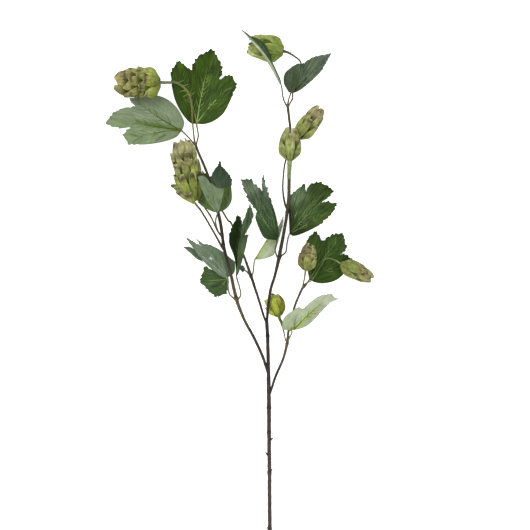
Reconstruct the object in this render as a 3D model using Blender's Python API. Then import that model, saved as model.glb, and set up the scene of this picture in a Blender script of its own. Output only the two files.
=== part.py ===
"""A cut hop bine lying flat: a woody stem with three side branches, lobed leaves on thin
stalks, and scaly green cones. Each stem length, blade, stalk and cone is one closed solid."""

import math

import bmesh
import bpy
import numpy as np
from mathutils import Vector

MM = 0.001

# Driving sizes, in millimetres.
BLADE_THICKNESS = 0.9
STEM_SIDES = 8
STALK_SIDES = 6
STALK_RADIUS = 1.1
STALK_DROP = 2.1  # how far a leaf stalk's end stays under its blade
NECK = 5.0  # length of a cone stalk's straight end
BLADE_RINGS = 3
CONE_SIDES = 12
CONE_TIERS = 5
STEM_STEP = 16.0  # longest straight run along a stem
STALK_STEP = 7.0

# Colour, roughness and metallic value of each material.
MATERIALS = {
    "stem_bark": ((0.10, 0.075, 0.055), 0.75, 0.0),
    "green_stalk": ((0.22, 0.21, 0.09), 0.6, 0.0),
    "leaf_green": ((0.045, 0.115, 0.03), 0.6, 0.0),
    "leaf_pale": ((0.25, 0.35, 0.22), 0.7, 0.0),
    "cone_green": ((0.32, 0.38, 0.10), 0.65, 0.0),
}

# Each stem length: its centre line as (across, along, up) and the radius at each point.
STEMS = {
    "stem_lower": (
        [(0, 0, 2.79), (-0.7, 70, 2.79), (-0.8, 108, 3.1), (-1.4, 168, 5.5),
         (-1.5, 205, 9), (-2.2, 250, 14.5)],
        [3.0, 3.0, 3.0, 3.0, 3.2, 2.7],
    ),
    "stem_upper": (
        [(-2.2, 250.4, 14.6), (-2.8, 280, 19), (-3.6, 313, 25), (-5.2, 338, 28)],
        [2.7, 2.4, 2.5, 2.5],
    ),
    "branch_right": (
        [(2.9, 236, 12.5), (9.3, 255, 14), (19.4, 278, 16), (26.1, 304, 18),
         (27.8, 321, 18.5), (36.6, 356, 18), (43.4, 374, 17), (49.0, 386, 16.4)],
        [1.7, 2.0, 2.0, 2.4, 1.8, 1.8, 1.8, 2.1],
    ),
    "branch_left": (
        [(-7.6, 272, 17.5), (-10, 280, 18), (-23, 309, 18.5), (-38.6, 338, 19.5),
         (-50, 368, 21), (-58.7, 406, 24.5), (-69, 447, 26.5), (-75, 487, 27),
         (-90.8, 548, 22), (-107, 588, 16), (-111.6, 600, 14.5)],
        [1.7, 2.2, 2.3, 2.3, 2.8, 2.3, 2.4, 2.5, 2.0, 1.8, 1.9],
    ),
    "branch_mid_left": (
        [(-9.1, 342.5, 28), (-16.5, 367, 25), (-28.7, 404, 22), (-39, 433, 18.5),
         (-57, 480, 14), (-63, 487, 13.5), (-70, 499, 13.2)],
        [1.6, 1.9, 2.3, 1.8, 1.5, 1.4, 1.3],
    ),
    "branch_top": (
        [(-4.2, 342.5, 28.2), (-1.8, 367, 28.8), (1.7, 386, 28.5), (7.5, 405, 27),
         (13.5, 431, 23.5), (22.4, 478, 20), (25.8, 500, 18), (28.4, 526, 14),
         (28.8, 552, 9), (30.5, 618, 6), (28.8, 640, 8), (26.6, 659, 11)],
        [1.7, 2.2, 2.3, 2.3, 2.8, 2.3, 2.4, 2.4, 2.3, 1.8, 1.8, 2.0],
    ),
}

# Each leaf blade: base point (across, along, up), heading in degrees from the across axis,
# bend to the left along its length in degrees, heart point of the blade, its bending
# (rise to the tip, arch in the middle, fold up of both halves, roll of the right side up),
# material, and outline corners as (right of the midrib, ahead of the base).
LEAVES = {
    "leaf_1": dict(
        base=(-110.2, 632.2, 15.5), heading=78, heart=(0, 40), rise=-6, fold=-0.08,
        outline=[(0, 0), (-9, -1), (-22, 8), (-35, 22), (-45, 39), (-54, 67), (-47, 88),
                 (-25, 77), (-21, 97), (0, 116), (13, 101), (21, 86), (18, 71), (33, 84),
                 (47, 71), (42, 44), (36, 24), (25, 10), (12, 2)]),
    "leaf_2": dict(
        base=(-135, 623.2, 10.4), heading=175, heart=(10, 40), rise=-5, fold=-0.1,
        material="leaf_pale",
        outline=[(-5, 0), (-13, 8), (-20, 25), (-26, 49), (-28, 76), (-14, 87), (0, 73),
                 (-5, 92), (0, 114), (16, 104), (25, 91), (30, 72), (41, 81), (48, 55),
                 (49, 38), (44, 22), (34, 9), (22, 0), (9, -5)]),
    "leaf_3_lower": dict(
        base=(-72, 501, 14), heading=116, heart=(2, 22), rise=-6, roll=0.32,
        outline=[(3, 0), (-10, 3), (-22, 17), (-27, 28), (-19, 44), (0, 67), (11, 46),
                 (21, 33), (29, 28), (22, 11), (14, 3)]),
    "leaf_3_upper": dict(
        base=(-78.6, 498.5, 32.2), heading=119, heart=(5, 24), rise=6,
        material="leaf_pale",
        outline=[(0, 0), (-3, 8), (-5, 30), (0, 61), (8, 58), (11.5, 51), (12, 44),
                 (17, 38), (24, 31), (26, 26), (15, 13), (4, 2)]),
    "leaf_3_tip": dict(
        base=(-76.5, 535.5, 38.6), heading=87, heart=(4, 14), rise=-5,
        outline=[(3, 0), (-6, 2), (-14, 12), (-9, 25), (-4, 32), (0, 41), (2, 32),
                 (6, 30), (15, 20), (19, 12), (19, 4), (9, 1)]),
    "leaf_4_upper": dict(
        base=(-63.9, 401.4, 16), heading=136, heart=(6, 26), rise=-5, roll=-0.12,
        material="leaf_pale",
        outline=[(0, 0), (-5, 7), (-8, 36), (-5, 61), (0, 90), (3, 75), (6, 61), (9, 77),
                 (11, 63), (18, 51), (23, 31), (24, 17), (25, 8), (13, -2)]),
    "leaf_4_lower": dict(
        base=(-63.9, 399, 11), heading=-176, heart=(-2, 18), rise=-7,
        outline=[(0, 0), (-11, 0), (-22, 3), (-26, 19), (-15, 31), (0, 42), (12, 37),
                 (22, 33), (8, 9)]),
    "leaf_4_side": dict(
        base=(-100.5, 424.5, 8.5), heading=143, heart=(3, 16), rise=-3,
        outline=[(3, 0), (-2, 8), (-1, 24), (0, 38), (6, 30), (7, 16)]),
    "leaf_5": dict(
        base=(-50.1, 403, 28), heading=90, heart=(3, 45), rise=2, arch=3, fold=0.35,
        roll=-0.35,
        outline=[(0, 0), (-3, 27), (-11, 50), (-9, 67), (-2, 84), (0, 91), (7, 89),
                 (8, 78), (20, 109), (25, 89), (12, 62), (18, 62), (15, 48), (11, 32),
                 (4, 7)]),
    "leaf_6": dict(
        base=(10.5, 457.5, 27), heading=121, heart=(4, 40), rise=4, arch=8, fold=-0.1,
        outline=[(0, 0), (-6, 4), (-15, 13), (-14, 31), (-10, 47), (-3, 52), (-6, 69),
                 (-3, 91), (0, 106), (13, 99), (14, 91), (19, 74), (32, 94), (28, 78),
                 (24, 62), (18, 34), (8, 8)]),
    "leaf_7": dict(
        base=(29.2, 466.5, 15), heading=44, heart=(-8, 40), rise=-5, roll=0.12,
        outline=[(0, 0), (-25, 23), (-40, 41), (-40, 58), (-39, 69), (-28, 60), (-32, 74),
                 (-24, 88), (0, 94), (0, 82), (0, 68), (6, 77), (18, 83), (22, 67),
                 (22, 53), (21, 39), (14, 17), (7, 3)]),
    "leaf_8": dict(
        base=(-22.6, 428.2, 19), heading=57, heart=(7, 32), rise=-10,
        material="leaf_pale",
        outline=[(0, 0), (-1, 18), (-1, 34), (3, 55), (0, 79), (7, 66), (14, 44),
                 (19, 27), (19, 19), (9, 6)]),
    "leaf_9": dict(
        base=(58.8, 397.5, 15), heading=54, heart=(0, 36), rise=-8, fold=-0.18,
        outline=[(0, 0), (-9, 9), (-26, 26), (-35, 38), (-38, 51), (-35, 66), (-18, 59),
                 (-15, 68), (-11, 77), (0, 87), (15, 74), (18, 67), (14, 57), (20, 63),
                 (33, 64), (37, 49), (36, 32), (31, 20), (21, 9), (11, 3)]),
    "leaf_10": dict(
        base=(30, 322.8, 23.5), heading=41, heart=(-3, 36), rise=-3,
        material="leaf_pale",
        outline=[(4, 4), (-8, -9), (-19, 4), (-19, 24), (-17, 33), (-11, 35), (-11, 58),
                 (-8, 70), (0, 83), (8, 83), (13, 87), (9, 72), (12, 39), (12, 22)]),
    "leaf_11": dict(
        base=(34.5, 678.8, 12), heading=46, heart=(-8, 30), rise=-5, fold=-0.06,
        outline=[(2, 3), (-5, -4), (-20, 1), (-29, 12), (-29, 24), (-26, 36), (-20, 42),
                 (-16, 59), (-5, 76), (0, 84), (6, 61), (8, 46), (6, 17)]),
    "leaf_12": dict(
        base=(17.2, 687, 30), heading=109, bend=35, heart=(0, 52), rise=8, arch=8,
        fold=0.3,
        outline=[(0, 0), (-2.5, 8), (-3.5, 20), (-4, 36), (-4, 52), (-4, 66), (-3.5, 80),
                 (-2, 95), (0, 110), (2, 96), (4, 84), (8, 76), (9.5, 62), (7, 50),
                 (3.5, 38), (2.5, 24), (2, 8)]),
    "leaf_13": dict(
        base=(-37.5, 411.8, 20.5), heading=157, heart=(1, 5), rise=-1,
        outline=[(0, 0), (-4, 2), (-2, 7), (0, 10), (4, 10), (6, 6), (3, 1)]),
}

# Each leaf stalk: the blade that it ends under, and the points before its end.
PETIOLES = {
    "stalk_leaf_1": ("leaf_1", [(-110.2, 603.6, 14.6), (-107.8, 615, 14.5)]),
    "stalk_leaf_2": ("leaf_2", [(-114.8, 603.0, 13.0), (-124.5, 614, 7.1)]),
    "stalk_leaf_3": ("leaf_3_upper", [(-77.5, 470, 26.5), (-81.5, 485, 28)]),
    "stalk_leaf_4": ("leaf_4_upper", [(-55, 370.5, 20), (-60.5, 376, 17), (-63, 386, 14.2)]),
    "stalk_leaf_5": ("leaf_5", [(-46.2, 370.5, 22.5), (-43.8, 376, 23.5), (-45.5, 386, 25)]),
    "stalk_leaf_6": ("leaf_6", [(9.6, 435, 24), (7.8, 444, 24.5)]),
    "stalk_leaf_7": ("leaf_7", [(18.2, 434.5, 22), (23.8, 440, 19), (25.6, 452, 14.5)]),
    "stalk_leaf_8": ("leaf_8", [(-25.8, 407.5, 20.5), (-24.4, 418, 18)]),
    "stalk_leaf_9": ("leaf_9", [(52.6, 387.6, 14.2)]),
    "stalk_leaf_10": ("leaf_10", [(28.6, 309.5, 21.5)]),
    "stalk_leaf_11": ("leaf_11", [(29.6, 662.5, 10.6), (34, 671, 10)]),
    "stalk_leaf_12": ("leaf_12", [(23.2, 662.6, 12.5), (19.5, 672, 19)]),
    "stalk_leaf_13": ("leaf_13", [(-33.2, 408.2, 19.6)]),
}

# A bare side stalk, from the left branch to the underside of the leaf beside it.
SIDE_STALK = [(-79.2, 472, 24), (-86, 487, 18), (-91, 496, 10), (-95, 503, 6.5)]

# Each cone: base and tip of its axis, and its largest radius.
CONES = {
    "cone_1": ((-165.5, 693.5, 22.1), (-231, 692, 21.8), 22.8),
    "cone_2": ((-116, 514, 19.7), (-133.5, 607, 20.0), 20.4),
    "cone_3": ((19, 741, 18.8), (-33, 752, 18.8), 19.5),
    "cone_4": ((43, 611, 13.8), (76.5, 655.8, 15.8), 15.0),
    "cone_5": ((29.3, 577, 30), (30, 625, 31.5), 17.0),
    "cone_6": ((53.4, 412.5, 27), (59.7, 450, 27), 14.0),
    "cone_7": ((107.5, 421.6, 19.5), (152.6, 399, 8.5), 13.4),
    "cone_8": ((14.6, 343.5, 15.2), (6.9, 376.5, 15.2), 15.0),
}

# Each cone stalk: the cone that it ends at, the points before its end, and its radius there.
PEDUNCLES = {
    "stalk_cone_1": ("cone_1", [(-112.9, 603.4, 17.6), (-116, 631, 19), (-118.5, 667, 20),
                                (-127, 684, 21), (-141, 693.5, 22.5), (-150, 693.5, 23)], 2.4),
    "stalk_cone_2": ("cone_2", [(-72, 447, 24), (-82.8, 466.5, 21.5), (-95, 487.5, 20),
                                (-105, 501, 20.5)], 1.4),
    "stalk_cone_3": ("cone_3", [(26.8, 662.6, 14.4), (30.5, 676, 16), (38, 688.5, 17.5),
                                (45, 710, 18), (46.5, 722.6, 18.5), (40.5, 730.5, 19),
                                (29.3, 737.6, 19.3)], 2.0),
    "stalk_cone_4": ("cone_4", [(22.8, 510.5, 16.5), (19.5, 530, 12), (19.8, 550, 9),
                                (23, 575, 9.5), (31.5, 596, 11)], 1.3),
    "stalk_cone_5": ("cone_5", [(28.6, 550, 14.5), (28.8, 560, 21)], 3.0),
    "stalk_cone_6": ("cone_6", [(49.5, 389.3, 18.8), (51.2, 398, 24)], 1.6),
    "stalk_cone_7": ("cone_7", [(51.6, 390, 16.8), (55.5, 393.5, 17.5), (63.5, 398, 18),
                                (77, 420, 18), (84.3, 430, 18), (97, 427.5, 19.5)], 1.6),
    "stalk_cone_8": ("cone_8", [(23.2, 308, 17.5), (20.5, 321, 16.5), (17, 334, 15.6)], 1.5),
}


def make_material(name):
    """A plain finish with the part's colour, roughness and metallic value."""
    colour, roughness, metallic = MATERIALS[name]
    material = bpy.data.materials.new(name)
    material.use_nodes = True
    shader = material.node_tree.nodes["Principled BSDF"]
    shader.inputs["Base Color"].default_value = (*colour, 1.0)
    shader.inputs["Roughness"].default_value = roughness
    shader.inputs["Metallic"].default_value = metallic
    return material


def add_object(name, vertices, faces, material, root, smooth_angle):
    """A closed mesh object, vertices in millimetres, facing out and held by the root."""
    mesh = bpy.data.meshes.new(name)
    mesh.from_pydata([tuple(MM * c for c in v) for v in vertices], [], faces)
    solid = bmesh.new()
    solid.from_mesh(mesh)
    bmesh.ops.recalc_face_normals(solid, faces=solid.faces)
    solid.to_mesh(mesh)
    solid.free()
    mesh.materials.append(material)
    mesh.shade_smooth()
    mesh.set_sharp_from_angle(angle=math.radians(smooth_angle))
    thing = bpy.data.objects.new(name, mesh)
    thing.parent = root
    bpy.context.collection.objects.link(thing)
    return thing


def smooth_path(points, values, step):
    """Points on a curve through the given ones, and the value at each, at most a step apart."""
    points = np.array(points, float)
    values = np.array(values, float)
    ends = np.vstack([2 * points[0] - points[1], points, 2 * points[-1] - points[-2]])
    path = []
    along = []
    for i in range(len(points) - 1):
        before, start, stop, after = ends[i:i + 4]
        count = max(1, round(np.linalg.norm(stop - start) / step))
        for k in range(count):
            t = k / count
            path.append(0.5 * (
                2 * start + (stop - before) * t
                + (2 * before - 5 * start + 4 * stop - after) * t ** 2
                + (3 * start - before - 3 * stop + after) * t ** 3))
            along.append(float(values[i] + (values[i + 1] - values[i]) * t))
    path.append(points[-1])
    along.append(float(values[-1]))
    return np.array(path), along


def ring_surface(rings):
    """Faces of a closed skin over equal rings of vertices, with a flat cap at each end."""
    sides = len(rings[0])
    vertices = [tuple(v) for ring in rings for v in ring]
    faces = [
        (i * sides + k, i * sides + (k + 1) % sides,
         (i + 1) * sides + (k + 1) % sides, (i + 1) * sides + k)
        for i in range(len(rings) - 1) for k in range(sides)
    ]
    last = (len(rings) - 1) * sides
    faces.append(tuple(reversed(range(sides))))
    faces.append(tuple(last + k for k in range(sides)))
    return vertices, faces


def tube(points, radii, step, sides):
    """A round rod along a smooth path, with one flat side facing down."""
    path, radii = smooth_path(points, radii, step)
    rings = []
    for i, centre in enumerate(path):
        ahead = path[min(i + 1, len(path) - 1)] - path[max(i - 1, 0)]
        ahead = Vector(ahead).normalized()
        side = ahead.cross(Vector((0, 0, 1))).normalized()
        up = side.cross(ahead)
        turns = [2 * math.pi * (k + 0.5) / sides + math.pi / 2 for k in range(sides)]
        rings.append([
            Vector(centre) + radii[i] * (side * math.cos(t) + up * math.sin(t))
            for t in turns
        ])
    return ring_surface(rings)


def blade_point(leaf, across, ahead):
    """Where a point of the flat blade lies once the blade is bent, turned and placed."""
    length = max(corner[1] for corner in leaf["outline"])
    share = ahead / length
    turn = math.radians(leaf["heading"])
    bend = math.radians(leaf.get("bend", 0))
    forward = ahead
    left = -across
    if bend:
        reach = length / bend
        forward = (reach + across) * math.sin(bend * share)
        left = reach - (reach + across) * math.cos(bend * share)
    up = (leaf.get("rise", 0) * share
          + leaf.get("arch", 0) * 4 * share * (1 - share)
          + leaf.get("fold", 0) * abs(across)
          + leaf.get("roll", 0) * across)
    x, y, z = leaf["base"]
    return (x + forward * math.cos(turn) - left * math.sin(turn),
            y + forward * math.sin(turn) + left * math.cos(turn),
            z + up)


def blade(leaf):
    """A thin closed sheet: rings of points from the heart out to the outline, twice over."""
    outline = [Vector(corner) for corner in leaf["outline"]]
    heart = Vector(leaf["heart"])
    count = len(outline)
    vertices = []
    for side in (0.5, -0.5):
        for ring in range(BLADE_RINGS + 1):
            share = ring / BLADE_RINGS
            for corner in outline[:1] if ring == 0 else outline:
                flat = heart + share * (corner - heart)
                x, y, z = blade_point(leaf, flat.x, flat.y)
                vertices.append((x, y, z + side * BLADE_THICKNESS))
    per_side = 1 + BLADE_RINGS * count
    faces = []
    for side in (0, 1):
        first = side * per_side
        for k in range(count):
            after = (k + 1) % count
            faces.append((first, first + 1 + k, first + 1 + after))
            for ring in range(BLADE_RINGS - 1):
                inner = first + 1 + ring * count
                outer = inner + count
                faces.append((inner + k, outer + k, outer + after))
                faces.append((inner + k, outer + after, inner + after))
    rim = 1 + (BLADE_RINGS - 1) * count
    for k in range(count):
        after = (k + 1) % count
        faces.append((rim + k, rim + after, per_side + rim + after, per_side + rim + k))
    return vertices, faces


def cone(base, tip, radius):
    """A plump cone: tiers of scales, each a ring that flares and then steps back."""
    base = Vector(base)
    axis = Vector(tip) - base
    side = axis.cross(Vector((0, 0, 1))).normalized()
    up = side.cross(axis).normalized()
    profile = [(0.0, 0.16)]
    for tier in range(CONE_TIERS):
        low = tier / CONE_TIERS
        for share, swell in ((low + 0.05, 0.9), (low + 0.9 / CONE_TIERS, 1.0)):
            bulge = math.sin(math.pi * (0.12 + 0.8 * share) ** 0.8) ** 0.6
            profile.append((share, swell * bulge))
    profile.append((1.0, 0.14))
    rings = []
    for i, (share, swell) in enumerate(profile):
        centre = base + axis * share
        turns = [2 * math.pi * (k + 0.5) / CONE_SIDES for k in range(CONE_SIDES)]
        rings.append([
            centre + radius * swell * (side * math.cos(t) + up * math.sin(t))
            for t in turns
        ])
    return ring_surface(rings)


def toward(start, stop, distance):
    """The point at a distance before the stop, on the way from the start."""
    start, stop = Vector(start), Vector(stop)
    return tuple(stop - (stop - start).normalized() * distance)


def main():
    """Build every piece, then stand the origin under the middle of the whole spray."""
    for thing in list(bpy.data.objects):
        bpy.data.objects.remove(thing, do_unlink=True)
    materials = {name: make_material(name) for name in MATERIALS}
    root = bpy.data.objects.new("hop_bine", None)
    bpy.context.collection.objects.link(root)
    pieces = []

    for name, (points, radii) in STEMS.items():
        skin = tube(points, radii, STEM_STEP, STEM_SIDES)
        pieces.append(add_object(name, *skin, materials["stem_bark"], root, 50))

    for name, leaf in LEAVES.items():
        finish = materials[leaf.get("material", "leaf_green")]
        pieces.append(add_object(name, *blade(leaf), finish, root, 50))

    for name, (leaf_name, points) in PETIOLES.items():
        x, y, z = LEAVES[leaf_name]["base"]
        points = points + [(x, y, z - STALK_DROP)]
        skin = tube(points, [STALK_RADIUS] * len(points), STALK_STEP, STALK_SIDES)
        pieces.append(add_object(name, *skin, materials["green_stalk"], root, 50))

    skin = tube(SIDE_STALK, [STALK_RADIUS] * len(SIDE_STALK), STALK_STEP, STALK_SIDES)
    pieces.append(add_object("stalk_side", *skin, materials["green_stalk"], root, 50))

    for name, (base, tip, radius) in CONES.items():
        skin = cone(base, tip, radius)
        pieces.append(add_object(name, *skin, materials["cone_green"], root, 35))

    for name, (cone_name, points, neck) in PEDUNCLES.items():
        base, tip, _ = CONES[cone_name]
        points = points + [toward(tip, base, -NECK), toward(tip, base, -0.5)]
        radii = [STALK_RADIUS] * (len(points) - 2) + [(STALK_RADIUS + neck) / 2, neck]
        skin = tube(points, radii, STALK_STEP, STALK_SIDES)
        pieces.append(add_object(name, *skin, materials["green_stalk"], root, 50))

    corners = np.array([v.co for piece in pieces for v in piece.data.vertices])
    low, high = corners.min(axis=0), corners.max(axis=0)
    root.location = (-(low[0] + high[0]) / 2, -(low[1] + high[1]) / 2, -low[2])


main()
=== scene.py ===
"""Looks of a cut hop bine that lies on a pale table.

Bark stems, thin stalks, lobed leaves and scaly cones are numpy surfaces in millimetres, in
plan coordinates: across, along the stem from its cut end, and up. They are set on the frame
through the place of the lowest stem length.
"""

import logging
import math
from dataclasses import dataclass, field
from enum import Enum

import bmesh
import bpy
import numpy as np
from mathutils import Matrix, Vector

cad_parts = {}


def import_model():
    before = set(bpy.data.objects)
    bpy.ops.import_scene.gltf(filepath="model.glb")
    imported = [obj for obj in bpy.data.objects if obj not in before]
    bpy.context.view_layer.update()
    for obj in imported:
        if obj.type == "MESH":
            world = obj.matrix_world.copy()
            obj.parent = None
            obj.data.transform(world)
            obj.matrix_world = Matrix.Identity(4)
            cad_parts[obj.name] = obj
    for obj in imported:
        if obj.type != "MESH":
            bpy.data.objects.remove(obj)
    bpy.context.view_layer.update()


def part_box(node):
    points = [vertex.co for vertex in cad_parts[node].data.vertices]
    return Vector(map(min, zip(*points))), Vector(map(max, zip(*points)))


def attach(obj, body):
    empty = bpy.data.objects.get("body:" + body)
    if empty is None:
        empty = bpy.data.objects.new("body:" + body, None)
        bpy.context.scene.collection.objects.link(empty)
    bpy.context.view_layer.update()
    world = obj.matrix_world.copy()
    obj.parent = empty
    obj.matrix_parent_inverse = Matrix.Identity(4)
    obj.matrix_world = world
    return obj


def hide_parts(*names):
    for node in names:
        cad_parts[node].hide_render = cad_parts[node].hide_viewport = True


LOG = logging.getLogger("hop_bine")

Array = np.ndarray
Point = tuple[float, float, float]
Shade = tuple[int, int, int]

MM = 0.001
STEM_FOOT_RADIUS = 3.0  # of the frame's eight-sided stem at its cut end
STEM_FOOT_HEIGHT = 2.79  # of its centre over the table
CARD_LIGHT = 1.5  # brightness of a white card under the studio lamps


def paint(shade: Shade) -> Array:
    """Turn a paint card's values into the surface colour that shows them under the lamps.

    Args:
        shade: Red, green and blue, each 0 to 255.

    Returns:
        The linear colour, as three values.
    """
    value = np.array(shade, float) / 255
    linear = np.where(value <= 0.04045, value / 12.92, ((value + 0.055) / 1.055) ** 2.4)
    return linear / CARD_LIGHT


def blend(first: Array, second: Array, share: Array) -> Array:
    """Mix two colours, or arrays of colours, by a share for each point.

    Args:
        first: Colour where the share is 0.
        second: Colour where the share is 1.
        share: Share of the second colour at each point.

    Returns:
        The mixed colour at each point.
    """
    share = np.clip(share, 0, 1)[..., None]
    return first * (1 - share) + second * share


def along(shades: list[Shade], share: Array) -> Array:
    """Run through several shades in turn, evenly spaced.

    Args:
        shades: The shades, from share 0 to share 1.
        share: Share of the way at each point.

    Returns:
        Linear colour at each point.
    """
    stops = np.linspace(0, 1, len(shades))
    colours = np.array([paint(shade) for shade in shades])
    return np.stack([np.interp(share, stops, colours[:, k]) for k in range(3)], -1)


def ease(value: Array, low: float, high: float) -> Array:
    """Rise smoothly from 0 at low to 1 at high, by 3t squared less 2t cubed.

    Args:
        value: Values to ease.
        low: Value at which the rise starts.
        high: Value at which it ends.

    Returns:
        The eased values, from 0 to 1.
    """
    share = np.clip((value - low) / (high - low), 0, 1)
    return share * share * (3 - 2 * share)


def share_out(spans: Array, step: float) -> tuple[Array, Array]:
    """Divide spans into runs of about one length.

    Args:
        spans: Length of each span.
        step: Length of a run.

    Returns:
        For the start of each run, the index of its span and the share of the span before it.
    """
    counts = np.maximum(1, np.round(spans / step)).astype(int)
    index = np.repeat(np.arange(len(counts)), counts)
    first = np.cumsum(counts) - counts
    return index, ((np.arange(counts.sum()) - first[index]) / counts[index])[:, None]


def cubic(before: Array, start: Array, stop: Array, after: Array, t: Array) -> Array:
    """Find points of the cubic between two points, with slopes from the ones either side.

    Args:
        before: Points before the starts.
        start: Points where t is 0.
        stop: Points where t is 1.
        after: Points after the stops.
        t: Share of the way from start to stop.

    Returns:
        The point at each share.
    """
    return 0.5 * (2 * start + (stop - before) * t
                  + (2 * before - 5 * start + 4 * stop - after) * t ** 2
                  + (3 * start - before - 3 * stop + after) * t ** 3)


def compass(sides: int) -> Array:
    """Angles to the corners of a profile with an edge, not a corner, at its start."""
    return 2 * math.pi * (np.arange(sides) + 0.5) / sides


def smooth_path(points: Array, values: Array, step: float) -> tuple[Array, Array]:
    """Draw a curve through points: a cubic between each two, with slopes from its neighbours.

    Args:
        points: Points that the curve passes through, one row each.
        values: A value at each point, such as a radius.
        step: About how far apart the points of the curve are.

    Returns:
        The points of the curve, and the value at each.
    """
    points, values = np.array(points, float), np.array(values, float)
    ends = np.vstack([2 * points[0] - points[1], points, 2 * points[-1] - points[-2]])
    spans = np.linalg.norm(np.diff(points, axis=0), axis=1)
    index, t = share_out(spans, step)
    before, start, stop, after = (ends[index + k] for k in range(4))
    curve = cubic(before, start, stop, after, t)
    run = values[index] + (values[index + 1] - values[index]) * t[:, 0]
    return np.vstack([curve, points[-1:]]), np.append(run, values[-1])


def lengths(path: Array) -> Array:
    """Distance from the start of a path to each of its points."""
    return np.append(0, np.cumsum(np.linalg.norm(np.diff(path, axis=0), axis=1)))


def axes(path: Array) -> tuple[Array, Array, Array]:
    """Find the directions ahead, to the side and up at each point of a path.

    Args:
        path: Points of the path, none of whose runs is upright.

    Returns:
        Three arrays of unit vectors: ahead along the path, level to its side, and up.
    """
    ahead = np.gradient(path, axis=0)
    ahead /= np.linalg.norm(ahead, axis=1, keepdims=True)
    side = np.cross(ahead, (0.0, 0.0, 1.0))
    side /= np.linalg.norm(side, axis=1, keepdims=True)
    return ahead, side, np.cross(side, ahead)


@dataclass
class Skin:
    """The points, faces, colours and grain of one piece, gathered patch by patch."""

    points: list[Array] = field(default_factory=list)
    colours: list[Array] = field(default_factory=list)
    grains: list[Array] = field(default_factory=list)
    faces: list[list[int]] = field(default_factory=list)
    total: int = 0

    def sheet(self, grid: Array, colour: Array, grain: Array) -> Array:
        """Take in a grid of points, without faces.

        Args:
            grid: Points as rows by columns by 3.
            colour: Linear colour at each point, or one for all.
            grain: Place of each point in its pattern, as rows by columns by 3.

        Returns:
            The index of each point, as rows by columns.
        """
        rows, columns = grid.shape[:2]
        self.points.append(grid.reshape(-1, 3))
        self.colours.append(np.broadcast_to(colour, grid.shape).reshape(-1, 3))
        self.grains.append(np.broadcast_to(grain, grid.shape).reshape(-1, 3))
        index = self.total + np.arange(rows * columns).reshape(rows, columns)
        self.total += rows * columns
        return index

    def cover(self, index: Array, wrap: bool = False, keep: Array | None = None) -> None:
        """Lay four-sided faces over a grid of points.

        Args:
            index: Index of each point, as rows by columns.
            wrap: Whether the last column joins the first.
            keep: Which faces are laid, or None for all.
        """
        if wrap:
            index = np.hstack([index, index[:, :1]])
        quads = np.stack([index[:-1, :-1], index[:-1, 1:], index[1:, 1:], index[1:, :-1]], -1)
        quads = quads.reshape(-1, 4) if keep is None else quads[keep]
        self.faces += quads.tolist()

    def hem(self, top: Array, under: Array, torn: Array) -> None:
        """Join two wrapped grids round the faces left out of both.

        Args:
            top: Index of each point of the upper grid.
            under: Index of each point of the lower grid.
            torn: Which faces were left out.
        """
        rows, columns = np.nonzero(torn[:-1] != torn[1:])
        after = (columns + 1) % top.shape[1]
        level = [top[rows + 1, columns], top[rows + 1, after],
                 under[rows + 1, after], under[rows + 1, columns]]
        self.faces += np.stack(level, -1).tolist()
        rows, columns = np.nonzero(torn != np.roll(torn, -1, axis=1))
        after = (columns + 1) % top.shape[1]
        upright = [top[rows, after], top[rows + 1, after],
                   under[rows + 1, after], under[rows, after]]
        self.faces += np.stack(upright, -1).tolist()

    def pole(self, ring: Array, centre: Array, colour: Array, grain: Array) -> None:
        """Close a ring of points with triangles that meet at one point.

        Args:
            ring: Index of each point of the ring.
            centre: The point where the triangles meet.
            colour: Its linear colour.
            grain: Its place in the pattern.
        """
        tip = self.sheet(np.reshape(centre, (1, 1, 3)), colour, grain)[0, 0]
        fan = np.stack([ring, np.roll(ring, -1), np.full(len(ring), tip)], -1)
        self.faces += fan.tolist()

    def tube(self, rings: Array, colour: Array, grain: Array) -> None:
        """Close a tube over rings of points, with a pole at each end.

        Args:
            rings: Points as rings by points by 3.
            colour: Linear colour at each point, broadcast to the rings.
            grain: Place of each point in its pattern, broadcast to the rings.
        """
        colour = np.broadcast_to(colour, rings.shape)
        grain = np.broadcast_to(grain, rings.shape)
        index = self.sheet(rings, colour, grain)
        self.cover(index, wrap=True)
        for end in (0, -1):
            self.pole(index[end], rings[end].mean(axis=0), colour[end, 0], grain[end, 0])

    def build(self, name: str, material: bpy.types.Material, shift: Array,
              crease: float) -> bpy.types.Object:
        """Make the mesh object, in metres on the frame.

        Args:
            name: Name of the object.
            material: Its finish.
            shift: Place of the plan's origin on the frame, in millimetres.
            crease: Angle in degrees over which an edge stays sharp.

        Returns:
            The object, at the origin, with colours in "paint" and pattern places in "grain".
        """
        places = (np.vstack(self.points) + shift) * MM
        mesh = bpy.data.meshes.new(name)
        mesh.from_pydata(places.tolist(), [], self.faces)
        work = bmesh.new()
        work.from_mesh(mesh)
        bmesh.ops.recalc_face_normals(work, faces=work.faces)
        work.to_mesh(mesh)
        work.free()
        colours = np.ones((self.total, 4))
        colours[:, :3] = np.vstack(self.colours)
        layer = mesh.attributes.new("paint", "FLOAT_COLOR", "POINT")
        layer.data.foreach_set("color", colours.ravel())
        layer = mesh.attributes.new("grain", "FLOAT_VECTOR", "POINT")
        layer.data.foreach_set("vector", np.vstack(self.grains).ravel())
        mesh.materials.append(material)
        mesh.shade_smooth()
        mesh.set_sharp_from_angle(angle=math.radians(crease))
        mesh.update()
        thing = bpy.data.objects.new(name, mesh)
        bpy.context.collection.objects.link(thing)
        return thing


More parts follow.
